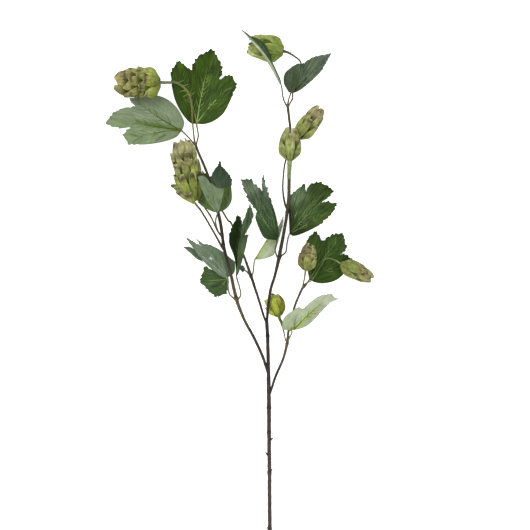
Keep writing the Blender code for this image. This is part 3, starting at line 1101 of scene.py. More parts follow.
@dataclass
class Cone:
    """A hop cone: a core under rows of overlapping cupped scales, pointing to its tip."""

    node: str
    base: Point
    tip: Point
    radius: float
    kind: ConeKind
    bracts: list[Bract] = field(default_factory=list)
    cleft: bool = False  # the tip parts above and below, over a stem
    stain_and_shade: tuple[float, Shade] | None = None  # turn and colour of a side painted darker: brown discolouring and painted shade
    seed: int = 1

    COLUMNS = 7
    STEPS = (0.0, 0.25, 0.45, 0.6, 0.74, 0.86, 0.95, 1.0)
    PRESSED = (0.2, 0.6)  # least heights of a scale's outer and inner face
    THICKNESS = 0.7  # of a scale
    CORE = 0.62  # radius of the core, as a share of the envelope's
    CORE_GRID = 14  # rings of the core, and points in each
    CLOSING = (0.0, 0.12, 0.35)  # how far the tips of the last three rows bend to the axis
    FIRST_TURN = 22.0
    CLEFT_TURN = 33.0  # between the last scales on each side of the stem

    def girth(self, share: Array) -> Array:
        """Radius of the cone's envelope.

        From the base it swells along a quarter of an ellipse to its widest place, and from
        there closes along another, flatter one to the radius of its tip.

        Args:
            share: Share of the cone's length from its base.

        Returns:
            The radius at each share.
        """
        form = self.kind.value
        rise = np.clip(1 - share / form.belly, 0, 1)
        fall = np.clip((share - form.belly) / (1.02 - form.belly), 0, 1)
        swell = 0.4 + 0.6 * np.sqrt(1 - rise ** 2.2)
        close = form.end + (1 - form.end) * np.sqrt(1 - fall ** 2.4)
        return self.radius * np.where(share < form.belly, swell, close)

    def set_out(self, share: Array, turn: Array, radial: Array) -> Array:
        """Place points round the cone's axis.

        Args:
            share: Share of the cone's length from its base.
            turn: Angle round the axis.
            radial: Distance from the axis.

        Returns:
            The points, with one more axis than the arguments.
        """
        base, tip = np.array(self.base), np.array(self.tip)
        axis = tip - base
        side = np.cross(axis, (0, 0, 1.0))
        side /= np.linalg.norm(side)
        up = np.cross(side, axis)
        up /= np.linalg.norm(up)
        return (base + share[..., None] * axis
                + radial[..., None] * (side * np.cos(turn)[..., None]
                                       + up * np.sin(turn)[..., None]))

    def scale(self, skin: Skin, bract: Bract, close: float, shades: tuple[Array, Array],
              chance: np.random.Generator) -> None:
        """Add one scale: a thin closed sheet, cupped round the cone and blunt at its tip.

        Over its length the width swells as a sine and closes as the root of one less a high
        power. The foot is set deep and the tip stands on the cone's envelope; the middle
        bulges by a parabola across and a sine along, and the sides turn in by a parabola.
        What would go into the table is pressed flat on it.

        Args:
            skin: The cone's skin.
            bract: Where the scale starts, its size, and how far its tip stands out.
            close: How far its tip bends to the axis, as a share of its radius.
            shades: Colour of its foot, which in the rows is painted shade under the tips of the row
                before, and of its middle.
            chance: Source of small differences.
        """
        form = self.kind.value
        v, u = np.meshgrid(self.STEPS, np.linspace(-1, 1, self.COLUMNS), indexing="ij")
        ragged = 0.03 * np.sin(2.6 * u + chance.uniform(0, 6.3)) * v ** 3
        share = bract.start + bract.length * v + ragged
        spread = ((0.55 + 0.45 * np.sin(math.pi * np.minimum(v * 0.8, 0.5)))
                  * (form.tip + (1 - form.tip) * np.sqrt(1 - v ** form.blunt)))
        girth = self.girth(share)
        around = np.maximum(girth, 0.45 * self.radius)
        angle = math.radians(bract.turn) + u * bract.half_width * spread / around
        seat = form.seat if bract.start > 0.02 else form.sole
        radial = (girth * (seat + (0.96 - seat) * v)
                  + form.bulge * self.radius * (1 - u ** 2) * np.sin(math.pi * v ** 0.9)
                  + bract.lift * v ** 3
                  - form.cup * self.radius * u ** 2 * (0.35 + 0.65 * v))
        radial = radial * (1 - close * v ** 3)
        strength = form.blotch_strength * chance.uniform(0.2, 1.2)
        # The foot colour is painted shade where the row before overlaps the scale.
        colour = blend(shades[0], shades[1], ease(v, 0.35, 0.72))
        edge = ease(np.abs(u), 0.5, 1.0) * ease(v, 0.35, 0.7)
        colour = blend(colour, paint(form.rim), 0.9 * edge)
        patch = np.exp(-((v - 0.88) / 0.14) ** 2 - ((u - chance.uniform(-0.3, 0.3)) / 0.7) ** 4)
        colour = blend(colour, paint(form.blotch), np.minimum(1, strength) * patch)
        colour = blend(colour, paint(form.rim), 0.8 * ease(v, 0.94, 1.0))
        colour = colour * chance.uniform(0.78, 1.12)
        # One side is painted darker: partly brown discolouring, partly painted shade.
        if self.stain_and_shade:
            side = 0.5 + 0.5 * math.cos(math.radians(bract.turn - self.stain_and_shade[0]))
            strength = 0.75 * side ** 2 * ease(1 - u ** 2, 0, 0.6)
            colour = blend(colour, paint(self.stain_and_shade[1]), strength)
        run = share * np.linalg.norm(np.subtract(self.tip, self.base))
        grain = np.stack([u * bract.half_width, run, np.full(u.shape, bract.turn)], -1)
        outer, inner = (self.set_out(share, angle, radial - depth)
                        for depth in (0, self.THICKNESS))
        outer[..., 2] = np.maximum(outer[..., 2], self.PRESSED[0])
        inner[..., 2] = np.maximum(inner[..., 2], self.PRESSED[1])
        top = skin.sheet(outer, colour, grain)
        # The inner face takes the outer colour darkened, as painted shade.
        under = skin.sheet(inner, colour * 0.7, grain)
        skin.cover(top)
        skin.cover(under)
        rim = [np.concatenate([g[0, :-1], g[:-1, -1], g[-1, :0:-1], g[:0:-1, 0]])
               for g in (top, under)]
        skin.cover(np.stack(rim), wrap=True)

    def skin(self) -> Skin:
        """Build the core and every row of scales.

        Each row is turned by half a spacing from the one before. The tips of scales that face
        the table stand out less, because they are pressed on it.

        Returns:
            The skin.
        """
        form = self.kind.value
        chance = np.random.default_rng(self.seed)
        skin = Skin()
        share, turns = np.meshgrid(
            np.linspace(0.0, 0.8 if self.cleft else 0.92, self.CORE_GRID),
            2 * math.pi * np.arange(self.CORE_GRID) / self.CORE_GRID, indexing="ij")
        core = self.set_out(share, turns, self.girth(share) * self.CORE)
        # The core shows only in the gaps between scales, so its colour is darkened as painted shade.
        inside = blend(paint(form.foot) * 0.6, paint(form.head) * 0.8, ease(share, 0.3, 0.9))
        skin.tube(core, inside, core)
        first, last = -0.01, 1.0 - form.length
        half = form.width * 2 * math.pi * self.radius * 0.85 / form.ring
        for row in range(form.rows):
            start = first + (last - first) * row / (form.rows - 1)
            close = self.CLOSING[max(0, row - form.rows + 3)]
            upto = row / (form.rows - 1)
            body = blend(paint(form.body), paint(form.head), 0.8 * upto)
            # Painted shade at the foot; the lowest row, which nothing overlaps, gets a lighter one.
            foot = paint(form.foot) if row else blend(paint(form.foot), paint(form.body), 0.7)
            for k in range(form.ring):
                turn = (360 * (k + 0.5 * row + chance.uniform(-0.14, 0.14)) / form.ring
                        + self.FIRST_TURN)
                upright = math.sin(math.radians(turn))
                if self.cleft and row == form.rows - 1:
                    turn = self.CLEFT_TURN * (k % 3 - 1) + 180 * (k // 3)
                lift = (form.flare * self.radius * chance.uniform(0.2, 1.8)
                        * min(1.0, max(0.0, 1.2 + 1.6 * upright)))
                bract = Bract(start + chance.uniform(-0.02, 0.02),
                              form.length * chance.uniform(0.9, 1.06), turn,
                              half * chance.uniform(0.9, 1.08), lift)
                self.scale(skin, bract, close, (foot, body), chance)
        for bract in self.bracts:
            self.scale(skin, bract, 0.0, (paint(form.body), paint(bract.shade)), chance)
        return skin


@dataclass
class Studio:
    """The pale floor, the soft lamps and the camera straight over the bine."""

    shift: Array
    centre: tuple[float, float] = (-7.5, 420.0)
    field_width: float = 795.0  # seen by the camera, in millimetres
    lens: float = 150.0

    SENSOR = 36.0
    FIELD_HEIGHT = 20.0  # height of the plane that the field is measured in
    FLOOR_HALF = 2.0  # in metres, as are the next two
    FLOOR_DROP = 0.0004
    FAR = 20.0
    FLOOR_GLOW = 0.7  # so that the soft shadows almost vanish
    SURROUND = 0.95

    def floor(self) -> None:
        """Lay a plain pale floor, four metres square, just under the bine."""
        side = np.linspace(-self.FLOOR_HALF, self.FLOOR_HALF, 9)
        x, y = np.meshgrid(side, side)
        skin = Skin()
        index = skin.sheet(np.stack([x, y, 0 * x - self.FLOOR_DROP], -1) / MM, np.ones(3), np.zeros(3))
        skin.cover(index)
        material = bpy.data.materials.new("floor_finish")
        material.use_nodes = True
        shader = material.node_tree.nodes["Principled BSDF"]
        shader.inputs["Base Color"].default_value = (0.9, 0.9, 0.9, 1)
        shader.inputs["Roughness"].default_value = 0.9
        shader.inputs["Specular IOR Level"].default_value = 0.1
        shader.inputs["Emission Color"].default_value = (1, 1, 1, 1)
        shader.inputs["Emission Strength"].default_value = self.FLOOR_GLOW
        floor = skin.build("floor", material, np.zeros(3), 30)

    def lamp(self, name: str, place: Point, size: float, power: float) -> None:
        """Hang a square soft lamp that faces the bine.

        Args:
            name: Name of the lamp.
            place: Where it hangs, in metres.
            size: Its side, in metres.
            power: Its power in watts.
        """
        data = bpy.data.lights.new(name, "AREA")
        data.shape = "SQUARE"
        data.size = size
        data.energy = power
        lamp = bpy.data.objects.new(name, data)
        lamp.location = place
        x, y, z = place
        lamp.rotation_euler = (math.atan2(math.hypot(x, y), z), 0, math.atan2(x, -y))
        bpy.context.collection.objects.link(lamp)

    def build(self) -> None:
        """Set up the floor, a white surround, two lamps and the camera."""
        self.floor()
        world = bpy.data.worlds.new("studio")
        world.use_nodes = True
        surround = world.node_tree.nodes["Background"]
        surround.inputs["Color"].default_value = (1, 1, 1, 1)
        surround.inputs["Strength"].default_value = self.SURROUND
        bpy.context.scene.world = world
        bpy.context.scene.view_settings.view_transform = "Standard"
        self.lamp("key_lamp", (-1.3, 1.2, 2.2), 1.6, 42)
        self.lamp("fill_lamp", (1.6, -0.9, 2.6), 2.2, 14)
        data = bpy.data.cameras.new("camera")
        data.lens = self.lens
        data.sensor_width = self.SENSOR
        height = self.field_width * self.lens / self.SENSOR + self.FIELD_HEIGHT
        data.clip_end = self.FAR
        camera = bpy.data.objects.new("camera", data)
        camera.location = (np.array([*self.centre, height]) + self.shift) * MM
        bpy.context.collection.objects.link(camera)
        bpy.context.scene.camera = camera


STEMS = [
    Stem("stem_lower",
         [(0, 0, 2.79), (-0.7, 70, 2.79), (-0.8, 108, 3.1), (-1.4, 168, 5.5),
          (-1.5, 205, 9), (-2.2, 250, 14.5)],
         [3.0, 3.0, 3.0, 3.1, 3.3, 3.1], joints=[22, 107, 168, 205], cut=True,
         shades=[(78, 68, 65), (78, 69, 66), (72, 63, 60), (66, 58, 55)],
         thorns=[Thorn((1.4, 157, 5.5), (5.8, 160.5, 6.5), 1.9),
                 Thorn((-3.2, 134, 4.5), (-7.6, 138.5, 5.2), 2.2),
                 Thorn((1.2, 110, 3.4), (4.2, 113, 4.2), 1.8),
                 Thorn((-2.2, 22, 3), (-5.4, 25, 3.4), 1.7)]),
    Stem("stem_upper",
         [(-2.2, 250.4, 14.6), (-2.8, 280, 19), (-3.6, 313, 25), (-5.2, 338, 28)],
         [3.1, 2.8, 2.8, 2.9], root=(-2.2, 246, 14), joints=[64],
         shades=[(60, 52, 50), (52, 45, 43)]),
    Stem("branch_right",
         [(2.9, 236, 12.5), (9.3, 255, 14), (19.4, 278, 16), (26.1, 304, 18),
          (27.8, 321, 18.5), (36.6, 356, 18), (43.4, 374, 17), (49.0, 386, 16.4)],
         [1.9, 2.0, 2.0, 2.4, 1.8, 1.8, 1.8, 2.2], root=(-1.8, 222, 11), joints=[70],
         shades=[(62, 54, 51), (58, 50, 48), (104, 94, 66), (80, 72, 54), (92, 84, 62)]),
    Stem("branch_left",
         [(-7.6, 272, 17.5), (-10, 280, 18), (-23, 309, 18.5), (-38.6, 338, 19.5),
          (-50, 368, 21), (-58.7, 406, 24.5), (-69, 447, 26.5), (-75, 487, 27),
          (-90.8, 548, 22), (-107, 588, 16), (-111.6, 600, 14.5)],
         [2.1, 2.3, 2.3, 2.3, 2.9, 2.3, 2.4, 2.6, 2.0, 1.8, 2.0], root=(-2.6, 257, 15.8),
         joints=[108, 190],
         shades=[(62, 54, 52), (64, 56, 52), (102, 93, 66), (52, 44, 34), (56, 48, 36),
                 (72, 66, 42), (76, 70, 44)]),
    Stem("branch_mid_left",
         [(-9.1, 342.5, 28), (-16.5, 367, 25), (-28.7, 404, 22), (-39, 433, 18.5),
          (-57, 480, 14), (-63, 487, 13.5), (-72.5, 502.5, 13.0)],
         [1.8, 1.9, 2.4, 1.8, 1.5, 1.4, 1.3], root=(-5, 334, 27.6), joints=[64],
         shades=[(50, 43, 40), (58, 50, 42), (84, 76, 50), (104, 94, 62)]),
    Stem("branch_top",
         [(-4.2, 342.5, 28.2), (-1.8, 367, 28.8), (1.7, 386, 28.5), (7.5, 405, 27),
          (13.5, 431, 23.5), (22.4, 478, 20), (25.8, 500, 18), (28.4, 526, 14),
          (28.8, 552, 9), (30.5, 618, 6), (28.8, 640, 8), (26.6, 659, 11)],
         [2.1, 2.3, 2.3, 2.3, 2.9, 2.4, 2.5, 2.6, 2.7, 1.9, 1.9, 2.2],
         root=(-4.9, 334, 27.8), joints=[90, 160],
         shades=[(48, 40, 37), (66, 56, 40), (62, 54, 38), (82, 76, 54), (84, 76, 54),
                 (80, 74, 50)]),
]

LEAVES = [
    Leaf("leaf_1", (-110.2, 632.2, 15.5), 78, (0, 40),
         [(0, 0), (-9, -1), (-22, 8), (-35, 22), (-45, 39), (-54, 67), (-47, 88),
          (-25, 77), (-21, 97), (0, 116), (13, 101), (21, 86), (18, 71), (33, 84),
          (47, 71), (42, 44), (36, 24), (25, 10), (12, 2)],
         lobes=[(-44, 82), (41, 76)], rise=-6, fold=-0.08, near=(56, 78, 22), far=(54, 80, 10),
         right=(64, 88, 32), vein=(146, 168, 98), rib=0.95, seed=1),
    Leaf("leaf_2", (-135, 623.2, 10.4), 175, (10, 40),
         [(-5, 0), (-13, 8), (-20, 25), (-26, 49), (-28, 76), (-14, 87), (0, 73),
          (-5, 92), (0, 114), (16, 104), (25, 91), (30, 72), (41, 81), (48, 55),
          (49, 38), (44, 22), (34, 9), (22, 0), (9, -5)],
         lobes=[(-20, 80), (42, 78)], face=Face.UNDER, rise=-5, fold=-0.1, near=(139, 156, 117),
         far=(134, 154, 112), right=(139, 156, 123), vein=(74, 96, 22), back=(64, 86, 36),
         band=(94, 118, 52), tip=(8, 84), rib=1.4, tooth=0.3, smooth_to=0.45, seed=2),
    Leaf("leaf_3_lower", (-72, 501, 14), 116, (2, 22),
         [(3, 0), (-10, 3), (-22, 17), (-27, 28), (-19, 44), (0, 67), (11, 46),
          (21, 33), (29, 28), (22, 11), (14, 3)],
         lobes=[(-20, 30), (25, 26)], rise=-6, roll=0.32, near=(112, 138, 84), far=(106, 134, 70),
         seed=3),
    Leaf("leaf_3_upper", (-78.6, 498.5, 32.2), 119, (5, 24),
         [(0, 0), (-3, 8), (-5, 30), (0, 61), (8, 58), (11.5, 51), (12, 44), (17, 38),
          (24, 31), (26, 26), (15, 13), (4, 2)],
         lobes=[(22, 28), (1, 58)], face=Face.UNDER, rise=6, near=(126, 144, 108),
         far=(128, 148, 114), vein=(84, 106, 58), back=(64, 86, 36), tooth=0.12,
         tip=(12.5, 45), seed=4),
    Leaf("leaf_3_tip", (-76.5, 535.5, 38.6), 87, (4, 14),
         [(3, 0), (-6, 2), (-14, 12), (-9, 25), (-4, 32), (0, 41), (2, 32),
          (6, 30), (15, 20), (19, 12), (19, 4), (9, 1)],
         # Its dull grey-blue shades are dark green under a painted sheen.
         lobes=[(14, 16)], rise=-5, near=(64, 82, 60), far=(62, 76, 62), vein=(84, 100, 78),
         vein_strength=0.4, smooth_to=0.05, seed=5),
    Leaf("leaf_4_upper", (-63.9, 401.4, 16), 136, (6, 26),
         [(0, 0), (-5, 7), (-8, 36), (-5, 61), (0, 90), (3, 75), (6, 61), (9, 77),
          (11, 63), (18, 51), (23, 31), (24, 17), (25, 8), (13, -2)],
         lobes=[(9, 70), (20, 36)], face=Face.UNDER, rise=-5, roll=-0.12, near=(98, 120, 90),
         # Its pale left half is painted sheen.
         far=(120, 138, 112), left=(120, 138, 114), vein=(160, 172, 150), back=(64, 86, 36),
         hole=(2.4, 37.5, 2.0, 2.4), tip=(-3, 88), tooth=0.2, seed=6),
    Leaf("leaf_4_lower", (-63.9, 399, 11), -176, (-2, 18),
         [(0, 0), (-11, 0), (-22, 3), (-26, 19), (-15, 31), (0, 42), (12, 37),
          (22, 33), (8, 9)],
         lobes=[(-22, 18), (19, 30)], rise=-7, near=(62, 88, 46), far=(76, 100, 60),
         smooth_to=-0.6, tooth=0.4, pitch=9.0, seed=7),
    Leaf("leaf_4_side", (-100.5, 424.5, 8.5), 143, (3, 16),
         [(3, 0), (-2, 8), (-1, 24), (0, 38), (6, 30), (7, 16)],
         rise=-3, near=(84, 102, 80), far=(90, 108, 88), tooth=0.15, seed=8),
    Leaf("leaf_5", (-50.1, 403, 28), 90, (3, 45),
         [(0, 0), (-3, 27), (-11, 50), (-9, 67), (-2, 84), (0, 91), (7, 89),
          (8, 78), (20, 109), (25, 89), (12, 62), (18, 62), (15, 48), (11, 32),
          (4, 7)],
         lobes=[(21, 102)], rise=2, arch=3, fold=0.35, roll=-0.35, near=(62, 80, 48),
         # Its dark left half is painted shade and its greyer right half is painted sheen.
         far=(80, 96, 70), left=(24, 44, 6), right=(76, 96, 64), vein=(92, 110, 66),
         root=(1, 4), tip=(9, 88), tooth=0.22, seed=9),
    Leaf("leaf_6", (10.5, 457.5, 27), 121, (4, 40),
         [(0, 0), (-6, 4), (-15, 13), (-14, 31), (-10, 47), (-3, 52), (-6, 69),
          (-3, 91), (0, 106), (13, 99), (14, 91), (19, 74), (32, 94), (28, 78),
          (24, 62), (18, 34), (8, 8)],
         # Its greyer far shade and the grey spot near its tip are painted sheen.
         lobes=[(28, 84)], rise=4, arch=8, fold=-0.1, near=(40, 68, 22), far=(92, 108, 84),
         spots=[Spot(24, 76, 16, (100, 114, 94), 0.9), Spot(-6, 30, 14, (62, 88, 48), 0.5)],
         vein=(112, 134, 88), seed=10),
    Leaf("leaf_7", (29.2, 466.5, 15), 44, (-8, 40),
         [(0, 0), (-25, 23), (-40, 41), (-40, 58), (-39, 69), (-28, 60), (-32, 74),
          (-24, 88), (0, 94), (0, 82), (0, 68), (6, 77), (18, 83), (22, 67),
          (22, 53), (21, 39), (14, 17), (7, 3)],
         lobes=[(-37, 62), (-14, 84), (17, 76)], rise=-5, roll=0.12, near=(34, 54, 14),
         far=(58, 80, 32), seed=11,
         # The pale grey-green spot on its left lobe is painted sheen.
         spots=[Spot(-34, 46, 16, (110, 130, 96), 1.0), Spot(-8, 46, 20, (76, 98, 58), 0.6),
                Spot(18, 54, 18, (76, 102, 44), 0.7)]),
    Leaf("leaf_8", (-22.6, 428.2, 19), 57, (7, 32),
         [(0, 0), (-1, 18), (-1, 34), (3, 55), (0, 79), (7, 66), (14, 44),
          (19, 27), (19, 19), (9, 6)],
         lobes=[(16, 25)], face=Face.UNDER, rise=-10, near=(192, 206, 168),
         far=(176, 190, 158), vein=(150, 170, 112), back=(80, 104, 50), band=(190, 202, 130),
         tooth=0.12, seed=12),
    Leaf("leaf_9", (58.8, 397.5, 15), 54, (0, 36),
         [(0, 0), (-9, 9), (-26, 26), (-35, 38), (-38, 51), (-35, 66), (-18, 59),
          (-15, 68), (-11, 77), (0, 87), (15, 74), (18, 67), (14, 57), (20, 63),
          (33, 64), (37, 49), (36, 32), (31, 20), (21, 9), (11, 3)],
         lobes=[(-35, 60), (31, 60)], rise=-8, fold=-0.18, near=(60, 86, 26), far=(58, 82, 34),
         seed=13),
    Leaf("leaf_10", (30, 322.8, 23.5), 41, (-3, 36),
         [(4, 4), (-8, -9), (-19, 4), (-19, 24), (-17, 33), (-11, 35), (-11, 58),
          (-8, 70), (0, 83), (8, 83), (13, 87), (9, 72), (12, 39), (12, 22)],
         lobes=[(-15, 24)], face=Face.UNDER, rise=-3, near=(180, 192, 156),
         far=(194, 203, 176), vein=(100, 122, 46), back=(90, 112, 60), tooth=0.2,
         root=(3.5, 5), tip=(1, 80), band=(170, 188, 104), rib=0.95, seed=14),
    Leaf("leaf_11", (34.5, 678.8, 12), 46, (-8, 30),
         [(2, 3), (-5, -4), (-20, 1), (-29, 12), (-29, 24), (-26, 36), (-20, 42),
          (-16, 59), (-5, 76), (0, 84), (6, 61), (8, 46), (6, 17)],
         # Its grey far shade is painted sheen.
         lobes=[(-24, 34)], rise=-5, fold=-0.06, near=(80, 98, 66), far=(108, 122, 104),
         vein=(52, 66, 40), smooth_to=0.25, tooth=0.22, root=(1, 3), seed=15),
    Leaf("leaf_12", (17.2, 687, 30), 109, (0, 52),
         [(0, 0), (-2.5, 8), (-3.5, 20), (-4, 36), (-4, 52), (-4, 66), (-3.5, 80),
          (-2, 95), (0, 110), (1.5, 96), (2.2, 87), (6.5, 77), (8.8, 64), (6.6, 50), (3, 38),
          (2.2, 24), (2, 8)],
         rise=8, arch=8, fold=0.3, bend=35, near=(140, 156, 122), far=(104, 116, 90),
         left=(184, 196, 168), right=(58, 80, 48), vein_strength=0.3, tooth=0.0, seed=16),
    Leaf("leaf_13", (-37.5, 411.8, 20.5), 157, (1, 5),
         [(0, 0), (-4, 2), (-2, 7), (0, 10), (4, 10), (6, 6), (3, 1)],
         rise=-1, near=(82, 98, 74), far=(82, 98, 74), tooth=0.1, rib=0.4, seed=17),
]

CONES = [
    Cone("cone_1", (-165.5, 693.5, 22.1), (-231, 692, 21.8), 22.8, ConeKind.ROUND, seed=21),
    Cone("cone_2", (-113.8, 518, 19.7), (-133.5, 607, 20.0), 20.4, ConeKind.LONG, seed=22,
         bracts=[Bract(0.0, 0.3, 174, 6, 11), Bract(-0.05, 0.24, 164, 9, 7),
                 Bract(0.02, 0.66, 62, 7, 2, (186, 200, 96)),
                 Bract(-0.07, 0.19, 118, 12, 3, (104, 88, 60))]),
    Cone("cone_3", (19, 741, 18.8), (-33, 752, 18.8), 19.5, ConeKind.OPEN, seed=23,
         bracts=[Bract(0.25, 0.72, 168, 7, 1.0, (176, 188, 122))]),
    Cone("cone_4", (43, 611, 13.8), (76.5, 655.8, 15.8), 15.0, ConeKind.SMALL, seed=24),
    Cone("cone_5", (29.3, 577, 30), (30, 625, 31.5), 17.0, ConeKind.FOLDED, cleft=True,
         bracts=[Bract(0.0, 0.66, 78, 4, 1.4, (222, 224, 180))], seed=25),
    Cone("cone_6", (53.4, 412.5, 27), (59.7, 450, 27), 14.0, ConeKind.SMALL,
         stain_and_shade=(165, (120, 108, 72)), seed=26),
    Cone("cone_7", (107.5, 421.6, 19.5), (152.6, 399, 8.5), 13.4, ConeKind.SMALL, seed=27),
    Cone("cone_8", (13.6, 343, 15.4), (4.6, 377, 15.4), 15.4, ConeKind.YOUNG,
         bracts=[Bract(0.3, 0.52, 176, 9, 2.4, (212, 218, 140)),
                 Bract(0.0, 0.5, 170, 9, 3.4, (214, 206, 150))],
         stain_and_shade=(4, (66, 52, 18)), seed=28),
]

LEAF_STALKS = [
    Tie("stalk_leaf_1", "leaf_1", (-111.3, 598.5, 14.5),
        [(-110.2, 603.6, 14.6), (-107.8, 615, 14.5)],
        shades=[(104, 90, 58), (112, 104, 64), (92, 112, 56)],
        barbs=[Thorn((-108.6, 610.5, 14.6), (-105, 616.5, 15.6), 0.9)]),
    Tie("stalk_leaf_2", "leaf_2", (-111.3, 598.5, 14.3),
        [(-114.8, 603.0, 13.0), (-124.5, 614, 7.1)],
        shades=[(108, 96, 66), (118, 110, 74), (80, 102, 40)]),
    Tie("stalk_leaf_3", "leaf_3_upper", (-71.8, 464, 26.8), [(-77.5, 470, 26.5), (-81.5, 485, 28)],
        shades=[(84, 76, 54), (112, 128, 92)]),
    Tie("stalk_leaf_4", "leaf_4_upper", (-50.8, 366, 21),
        [(-55, 370.5, 20), (-60.5, 376, 17), (-63, 386, 14.2)],
        shades=[(120, 106, 74), (128, 122, 94), (110, 124, 92)]),
    Tie("stalk_leaf_5", "leaf_5", (-49.8, 366, 21),
        [(-46.2, 370.5, 22.5), (-43.8, 376, 23.5), (-45.5, 386, 25)],
        shades=[(120, 106, 74), (124, 112, 80), (80, 96, 56)]),
    Tie("stalk_leaf_6", "leaf_6", (13.2, 429, 23.6), [(9.6, 435, 24), (7.8, 444, 24.5)],
        shades=[(84, 74, 52), (104, 98, 66), (70, 92, 48)]),
    Tie("stalk_leaf_7", "leaf_7", (13.6, 429.5, 23.4),
        [(18.2, 434.5, 22), (23.8, 440, 19), (25.6, 452, 14.5)],
        shades=[(88, 76, 52), (100, 90, 62), (64, 82, 40)]),
    Tie("stalk_leaf_8", "leaf_8", (-28.9, 402.5, 22), [(-25.8, 407.5, 20.5), (-24.4, 418, 18)],
        shades=[(110, 98, 66), (140, 132, 88), (150, 162, 100)]),
    Tie("stalk_leaf_9", "leaf_9", (48.8, 385, 16.2), [(52.6, 387.6, 14.2)],
        shades=[(110, 100, 64), (96, 112, 58)]),
    Tie("stalk_leaf_10", "leaf_10", (26.0, 303, 18.4), [(28.6, 309.5, 21.5), (33, 320, 24.2)],
        shades=[(104, 96, 62), (140, 146, 98), (150, 166, 104)],
        barbs=[Thorn((26, 305, 19), (23, 309, 20), 0.8)]),
    Tie("stalk_leaf_11", "leaf_11", (26.8, 657.5, 11), [(29.6, 662.5, 10.6), (34, 671, 10)],
        shades=[(104, 84, 56), (112, 98, 66), (58, 70, 46)],
        barbs=[Thorn((32.6, 667.5, 10.2), (36.6, 669.6, 11), 0.8)]),
    Tie("stalk_leaf_12", "leaf_12", (26.6, 657.5, 11.2), [(23.2, 662.6, 12.5), (19.5, 672, 19)],
        shades=[(104, 84, 56), (96, 94, 72), (110, 124, 96)],
        barbs=[Thorn((21, 667, 15.5), (17, 669, 16.4), 0.8)]),
    Tie("stalk_leaf_13", "leaf_13", (-29, 402.8, 21.8), [(-33.2, 408.2, 19.6)],
        shades=[(100, 92, 66), (84, 96, 70)]),
]

CONE_STALKS = [
    Tie("stalk_cone_1", "cone_1", (-111.5, 598.5, 15),
        [(-112.9, 603.4, 17.6), (-116, 631, 19), (-118.5, 667, 20), (-127, 684, 21),
         (-141, 693.5, 22.5), (-150, 693.5, 23)], [1.6, 1.3, 1.3, 1.4, 1.5, 1.7, 2.2, 2.6],
        shades=[(104, 88, 58), (112, 104, 62), (128, 118, 66), (126, 124, 66), (134, 144, 78),
                (104, 112, 80), (132, 142, 112)],
        barbs=[Thorn((-138, 692.6, 23.4), (-128.5, 697, 24.6), 1.3),
               Thorn((-131, 688, 22.4), (-121.5, 691, 24), 1.3),
               Thorn((-126, 682.5, 22), (-135, 679.5, 23.5), 1.3),
               Thorn((-122.5, 677, 21.6), (-131, 671.5, 23), 1.2),
               Thorn((-120, 672, 21), (-113, 679.5, 22.5), 1.1)]),
    Tie("stalk_cone_2", "cone_2", (-68.6, 442, 26),
        [(-72, 447, 24), (-82.8, 466.5, 21.5), (-95, 487.5, 20), (-104, 502, 19.6)],
        [2.0, 1.7, 1.6, 1.6, 1.8], [(74, 64, 50), (84, 76, 58), (92, 86, 60), (104, 104, 62)]),
    Tie("stalk_cone_3", "cone_3", (26.8, 657.5, 11.4),
        [(26.8, 662.6, 14.4), (30.5, 676, 16), (38, 688.5, 17.5), (45, 710, 18),
         (46.5, 722.6, 18.5), (40.5, 730.5, 19), (29.3, 737.6, 19.3)],
        [1.6, 1.1, 1.1, 1.1, 1.2, 1.3, 1.6, 2.6],
        [(112, 92, 60), (96, 86, 62), (70, 76, 56), (70, 76, 58), (84, 88, 70), (92, 100, 72)],
        barbs=[Thorn((44.2, 726.6, 19.6), (44.4, 732.6, 21), 0.8),
               Thorn((30.5, 737, 20), (31.5, 742, 21), 0.8)]),
    Tie("stalk_cone_4", "cone_4", (26.1, 504, 17.6),
        [(22.8, 510.5, 16.5), (19.5, 530, 12), (19.8, 550, 9), (23, 575, 9.5),
         (31.5, 596, 11)], [1.8, 1.4, 1.3, 1.4, 1.6],
        [(70, 64, 42), (66, 64, 46), (74, 76, 52), (96, 104, 60)]),
    Tie("stalk_cone_5", "cone_5", (28.6, 550.5, 9.6), [(28.7, 556, 13.5), (28.9, 563, 21.5)],
        [3.0, 3.2, 3.6, 4.2], [(130, 142, 98), (150, 164, 114), (152, 166, 108)]),
    Tie("stalk_cone_6", "cone_6", (48.9, 384.5, 16.6), [(49.5, 389.3, 18.8), (51.2, 398, 24)],
        [1.4, 1.2, 1.3, 1.8], [(104, 92, 58), (124, 118, 72), (128, 138, 74)]),
    Tie("stalk_cone_7", "cone_7", (48.9, 385, 16.4),
        [(51.6, 390, 16.8), (55.5, 393.5, 17.5), (63.5, 398, 18), (77, 420, 18),
         (84.3, 430, 18), (97, 427.5, 19.5)], [1.4, 0.9, 0.8, 0.8, 0.9, 1.6],
        [(104, 92, 60), (118, 122, 74), (104, 128, 70), (108, 132, 70), (140, 150, 84)]),
    Tie("stalk_cone_8", "cone_8", (26, 303.5, 18.2),
        [(23.2, 308, 17.5), (20.5, 321, 16.5), (17, 334, 15.6)],
        [1.3, 1.0, 1.3, 2.2, 2.3], [(96, 84, 56), (100, 94, 60), (110, 116, 50)]),
]
SIDE_STALK = Stalk("stalk_side", (-72, 462, 26), [(-79.2, 472, 24), (-86, 487, 18)],
                   [(-91, 496, 10), (-99, 507.5, 6.2)], [1.6, 1.3, 1.3, 1.5, 1.2],
                   [(80, 72, 50), (96, 90, 62), (112, 122, 60)])

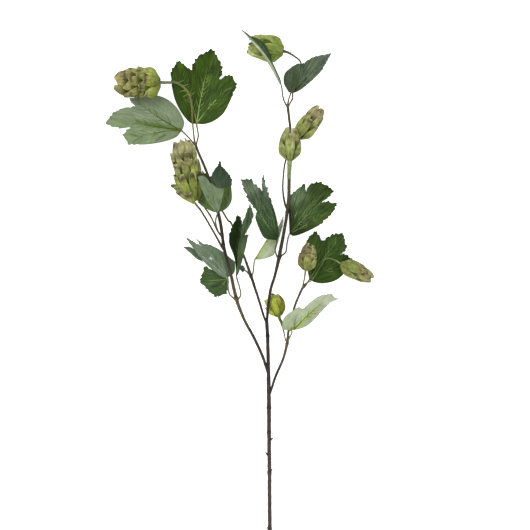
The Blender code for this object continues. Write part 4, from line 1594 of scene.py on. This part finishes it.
NECK = 5.0  # length of a cone stalk's straight end
NECK_INTO = 1.5  # how far it goes into the cone
MIDRIB_RUN = 10.0  # how far a leaf stalk runs on along the blade
MIDRIB_LIFT = 0.6  # how far its centre line stands off the middle of the blade


def leaf_stalk(tie: Tie, leaf: Leaf) -> Stalk:
    """Run a stalk to the base of its blade and a short way on along the midrib.

    Args:
        tie: The stalk's course.
        leaf: Its leaf.

    Returns:
        The stalk, which ends on the face of the blade where the veins stand out.
    """
    way = 1 if leaf.face is Face.UNDER else -1
    ahead = np.array([0.0, MIDRIB_RUN])
    end = leaf.place(0 * ahead, ahead, np.full(2, way * MIDRIB_LIFT))
    return Stalk(tie.node, tie.root, tie.points, [tuple(p) for p in end], tie.widths,
                 tie.shades, tie.barbs)


def cone_stalk(tie: Tie, cone: Cone) -> Stalk:
    """Run a stalk to the base of its cone, with a straight neck that thickens into it.

    Args:
        tie: The stalk's course.
        cone: Its cone.

    Returns:
        The stalk.
    """
    base, tip = np.array(cone.base), np.array(cone.tip)
    ahead = (tip - base) / np.linalg.norm(tip - base)
    end = [tuple(base - ahead * NECK), tuple(base + ahead * NECK_INTO)]
    return Stalk(tie.node, tie.root, tie.points, end, tie.widths, tie.shades, tie.barbs)


def main() -> None:
    """Load the frame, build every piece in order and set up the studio."""
    logging.basicConfig(level=logging.INFO, format="%(message)s")
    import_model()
    workshop = Workshop.from_frame()
    for stem in STEMS:
        workshop.place(stem.skin(), stem.node, BARK)
    leaves = {leaf.node: leaf for leaf in LEAVES}
    for leaf in LEAVES:
        finish = LEAF if leaf.face is Face.UPPER else PALE_LEAF
        workshop.place(leaf.skin(), leaf.node, finish)
    for tie in LEAF_STALKS:
        workshop.place(leaf_stalk(tie, leaves[tie.target]).skin(), tie.node, STALK)
    workshop.place(SIDE_STALK.skin(), SIDE_STALK.node, STALK)
    cones = {cone.node: cone for cone in CONES}
    for cone in CONES:
        workshop.place(cone.skin(), cone.node, SCALE)
    for tie in CONE_STALKS:
        workshop.place(cone_stalk(tie, cones[tie.target]).skin(), tie.node, STALK)
    Studio(workshop.shift).build()
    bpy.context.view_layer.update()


if __name__ == "__main__":
    main()
